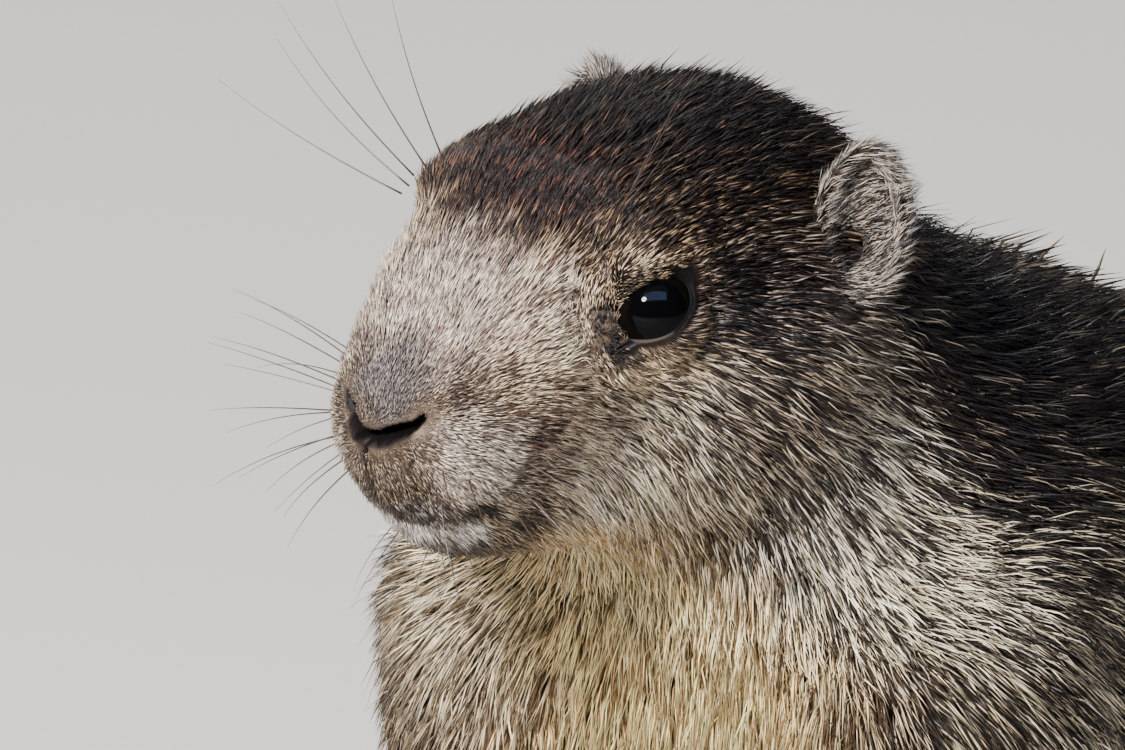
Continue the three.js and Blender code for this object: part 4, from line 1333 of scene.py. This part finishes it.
def tubes(name, paths, sides):  # bent tapering tubes along paths of (points, radii)
    points, faces = [], []
    for line, radii in paths:
        line = np.asarray(line, float)
        heading = unit(np.gradient(line, axis=0))
        lean = unit(np.cross(heading, [0.31, 0.27, 0.91]))
        other = np.cross(heading, lean)
        base = len(points)
        for k in range(len(line)):
            for j in range(sides):
                turn = 2 * math.pi * j / sides
                points.append(line[k] + (lean[k] * math.cos(turn) + other[k] * math.sin(turn)) * radii[k])
        for k in range(len(line) - 1):
            for j in range(sides):
                n = (j + 1) % sides
                a, b = base + k * sides + j, base + k * sides + n
                faces += [(a, b, b + sides), (a, b + sides, a + sides)]
        points += [line[0], line[-1] + heading[-1] * radii[-1]]
        start, end = len(points) - 2, len(points) - 1
        last = base + (len(line) - 1) * sides
        for j in range(sides):
            n = (j + 1) % sides
            faces += [(start, base + n, base + j), (end, last + j, last + n)]
    return newMesh(name, points, faces)


whiskerShape = {  # width at the root in mm, share lost at the tip, how far ends may reach in head mm
    "pad": 0.276, "brow": 0.276, "chin": 0.1955, "taper": 0.86, "scatter": 1.2, "top": 47, "front": 6,
    "rows": 14, "sides": 5, "sunk": 1.2, "dark": (24, 18, 16), "pale": (66, 48, 38), "rough": 0.35,
}


def buildWhiskers():
    shape = whiskerShape
    paths = []
    for key, rows in whiskers.items():
        for root, end, droop in rows:
            for side in (1, -1):
                flip = np.array([1, side, 1])
                a, b = np.array(root) * flip, np.array(end) * flip
                b = b + rng.normal(0, shape["scatter"], 3)
                b = np.minimum(b, [shape["front"], np.inf, shape["top"]])
                t = np.linspace(0, 1, shape["rows"])[:, None]
                sag = np.array([0, 0, -droop * rng.uniform(0.6, 1.3)])
                back = np.array([-1.0, 0, 0]) * rng.uniform(1, 4)
                line = a + (b - a) * t + (sag + back) * (t ** 2.2)
                line = line - unit(b - a) * shape["sunk"] * (1 - t) ** 4
                radii = shape[key] * (1 - shape["taper"] * t[:, 0] ** 0.9) / 2 * mm
                paths.append((fromHead(line), radii))
    piece = tubes("whiskers", paths, shape["sides"])
    material, tree, shader = newMaterial("whiskerHorn")
    colourRamp(tree, shader, objectGrain(tree, 180), [(0, shape["dark"]), (1, shape["pale"])])
    shader.inputs["Roughness"].default_value = shape["rough"]
    piece.data.materials.append(material)
    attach(piece, "root")


clawShape = {  # millimetres, and the share of its width that a claw loses
    "fore": 1.35, "hind": 1.2, "taper": 0.84, "rows": 16, "sides": 10,
    "sunk": 0.7, "arch": 0.5, "clear": 0.05,
}


def clawMaterial():
    look = {"root": (52, 40, 34), "tip": (142, 116, 90), "rough": 0.32, "bump": 0.25, "depth": 0.0003}
    material, tree, shader = newMaterial("clawHorn")
    grain = objectGrain(tree, 700, 4)
    add = node(tree, "ShaderNodeMath", operation="MULTIPLY_ADD")
    add.inputs[1].default_value = 0.35
    tree.links.new(grain, add.inputs[0])
    tree.links.new(attributeNode(tree, "along").outputs["Fac"], add.inputs[2])
    colourRamp(tree, shader, add.outputs["Value"], [(0.25, look["root"]), (1, look["tip"])])
    addBump(tree, shader, grain, look["bump"], look["depth"])
    shader.inputs["Roughness"].default_value = look["rough"]
    return material


def clawPath(points, wide):  # the middle line of a claw of the frame, and its width along it
    shape = clawShape
    low, high = points[:, 1].min(), points[:, 1].max()
    start = points[points[:, 1] > high - 0.8 * mm].mean(0)
    end = points[points[:, 1] < low + 0.5 * mm].mean(0)
    middle = points[np.abs(points[:, 1] - (low + high) / 2) < 1.6 * mm].mean(0)
    t = np.linspace(0, 1, shape["rows"])[:, None]
    start = start + (start - middle) * shape["sunk"]
    top = middle + np.array([0, 0, shape["arch"] * mm])
    line = start * (1 - t) ** 2 + (2 * top - (start + end) / 2) * 2 * t * (1 - t) + end * t ** 2
    return line, wide * mm * (1 - t[:, 0] ** 1.6 * shape["taper"])


def buildClaws():
    horn = clawMaterial()
    shape = clawShape
    along = np.concatenate([np.repeat(np.linspace(0, 1, shape["rows"]), shape["sides"]), [0, 1]])
    for row in ("fore", "hind"):
        for side in ("left", "right"):
            names = sorted(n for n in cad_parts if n.startswith(f"claw_{row}_{side}"))
            paths = [clawPath(pointsOf(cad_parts[name].data), shape[row]) for name in names]
            piece = tubes("claws" + row.capitalize() + side.capitalize(), paths, shape["sides"])
            paint(piece.data, "along", np.tile(along, len(paths)))
            points = pointsOf(piece.data)
            points[:, 2] = np.maximum(points[:, 2], shape["clear"] * mm)
            setPoints(piece.data, points)
            piece.data.materials.append(horn)
            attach(piece, "root")
            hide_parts(*names)


buildWhiskers()
buildClaws()
print("whiskers and claws done")


def buildFloor():
    deselectAll()
    bpy.ops.mesh.primitive_plane_add(size=8, location=(0, 0, 0))
    floor = bpy.context.active_object
    floor.name = "floor"
    material, tree, shader = newMaterial("paleFloor")
    shader.inputs["Base Color"].default_value = (0.52, 0.5, 0.475, 1)
    shader.inputs["Roughness"].default_value = 0.8
    floor.data.materials.append(material)


lights = {  # place and aim in metres, watts, width and height in metres, colour, whether it lights surfaces
    "key": ((0.2, -1.26, 1.02), (0, -0.14, 0.11), 88, (0.3, 0.3), (1, 0.96, 0.9), True),
    "sky": ((0.56, -0.86, 1.7), (0.4, -0.6, 0), 15, (2.4, 2.4), (0.5, 0.68, 1), True),
    "card": ((0.72, -0.86, 1.28), (0, -0.14, 0.13), 30, (1.5, 0.6), (0.36, 0.55, 1), False),
    "rim": ((-0.9, 0.9, 1.1), (0, -0.14, 0.11), 16, (0.6, 0.6), (1, 0.97, 0.92), True),
}


def buildLights():
    for name, (at, aim, power, size, tint, shines) in lights.items():
        light = bpy.data.lights.new(name, "AREA")
        light.energy = power
        light.color = tint
        light.shape = "DISK" if size[0] == size[1] else "RECTANGLE"
        light.size, light.size_y = size
        piece = bpy.data.objects.new(name, light)
        bpy.context.scene.collection.objects.link(piece)
        piece.location = at
        piece.visible_diffuse = shines  # the card shows in the eyes and lights nothing
        piece.rotation_euler = (Vector(aim) - Vector(at)).to_track_quat("-Z", "Y").to_euler()
    world = bpy.data.worlds.new("studio")
    world.use_nodes = True
    world.node_tree.nodes["Background"].inputs["Color"].default_value = (0.9, 0.93, 1, 1)
    world.node_tree.nodes["Background"].inputs["Strength"].default_value = 0.13
    bpy.context.scene.world = world


def buildCamera():  # degrees, metres away, and millimetres from the nose tip to the middle of the view
    view = {"turn": 38, "rise": 16, "away": 2.2, "across": 25.3, "above": 7.2, "wide": 0.148, "sensor": 36}
    a, e = math.radians(view["turn"]), math.radians(view["rise"])
    right = np.array([math.cos(a), math.sin(a), 0])
    up = np.array([-math.sin(e) * math.sin(a), math.sin(e) * math.cos(a), math.cos(e)])
    toEye = np.array([math.sin(a) * math.cos(e), -math.cos(a) * math.cos(e), math.sin(e)])
    target = noseTip + (right * view["across"] + up * view["above"]) * mm
    camera = bpy.data.objects.new("camera", bpy.data.cameras.new("camera"))
    bpy.context.scene.collection.objects.link(camera)
    camera.location = target + toEye * view["away"]
    camera.rotation_euler = Vector(-toEye).to_track_quat("-Z", "Y").to_euler()
    camera.data.sensor_width = view["sensor"]
    camera.data.lens = view["sensor"] * view["away"] / view["wide"]
    camera.data.clip_start = 0.05
    bpy.context.scene.camera = camera


buildFloor()
buildLights()
buildCamera()

bpy.context.view_layer.update()
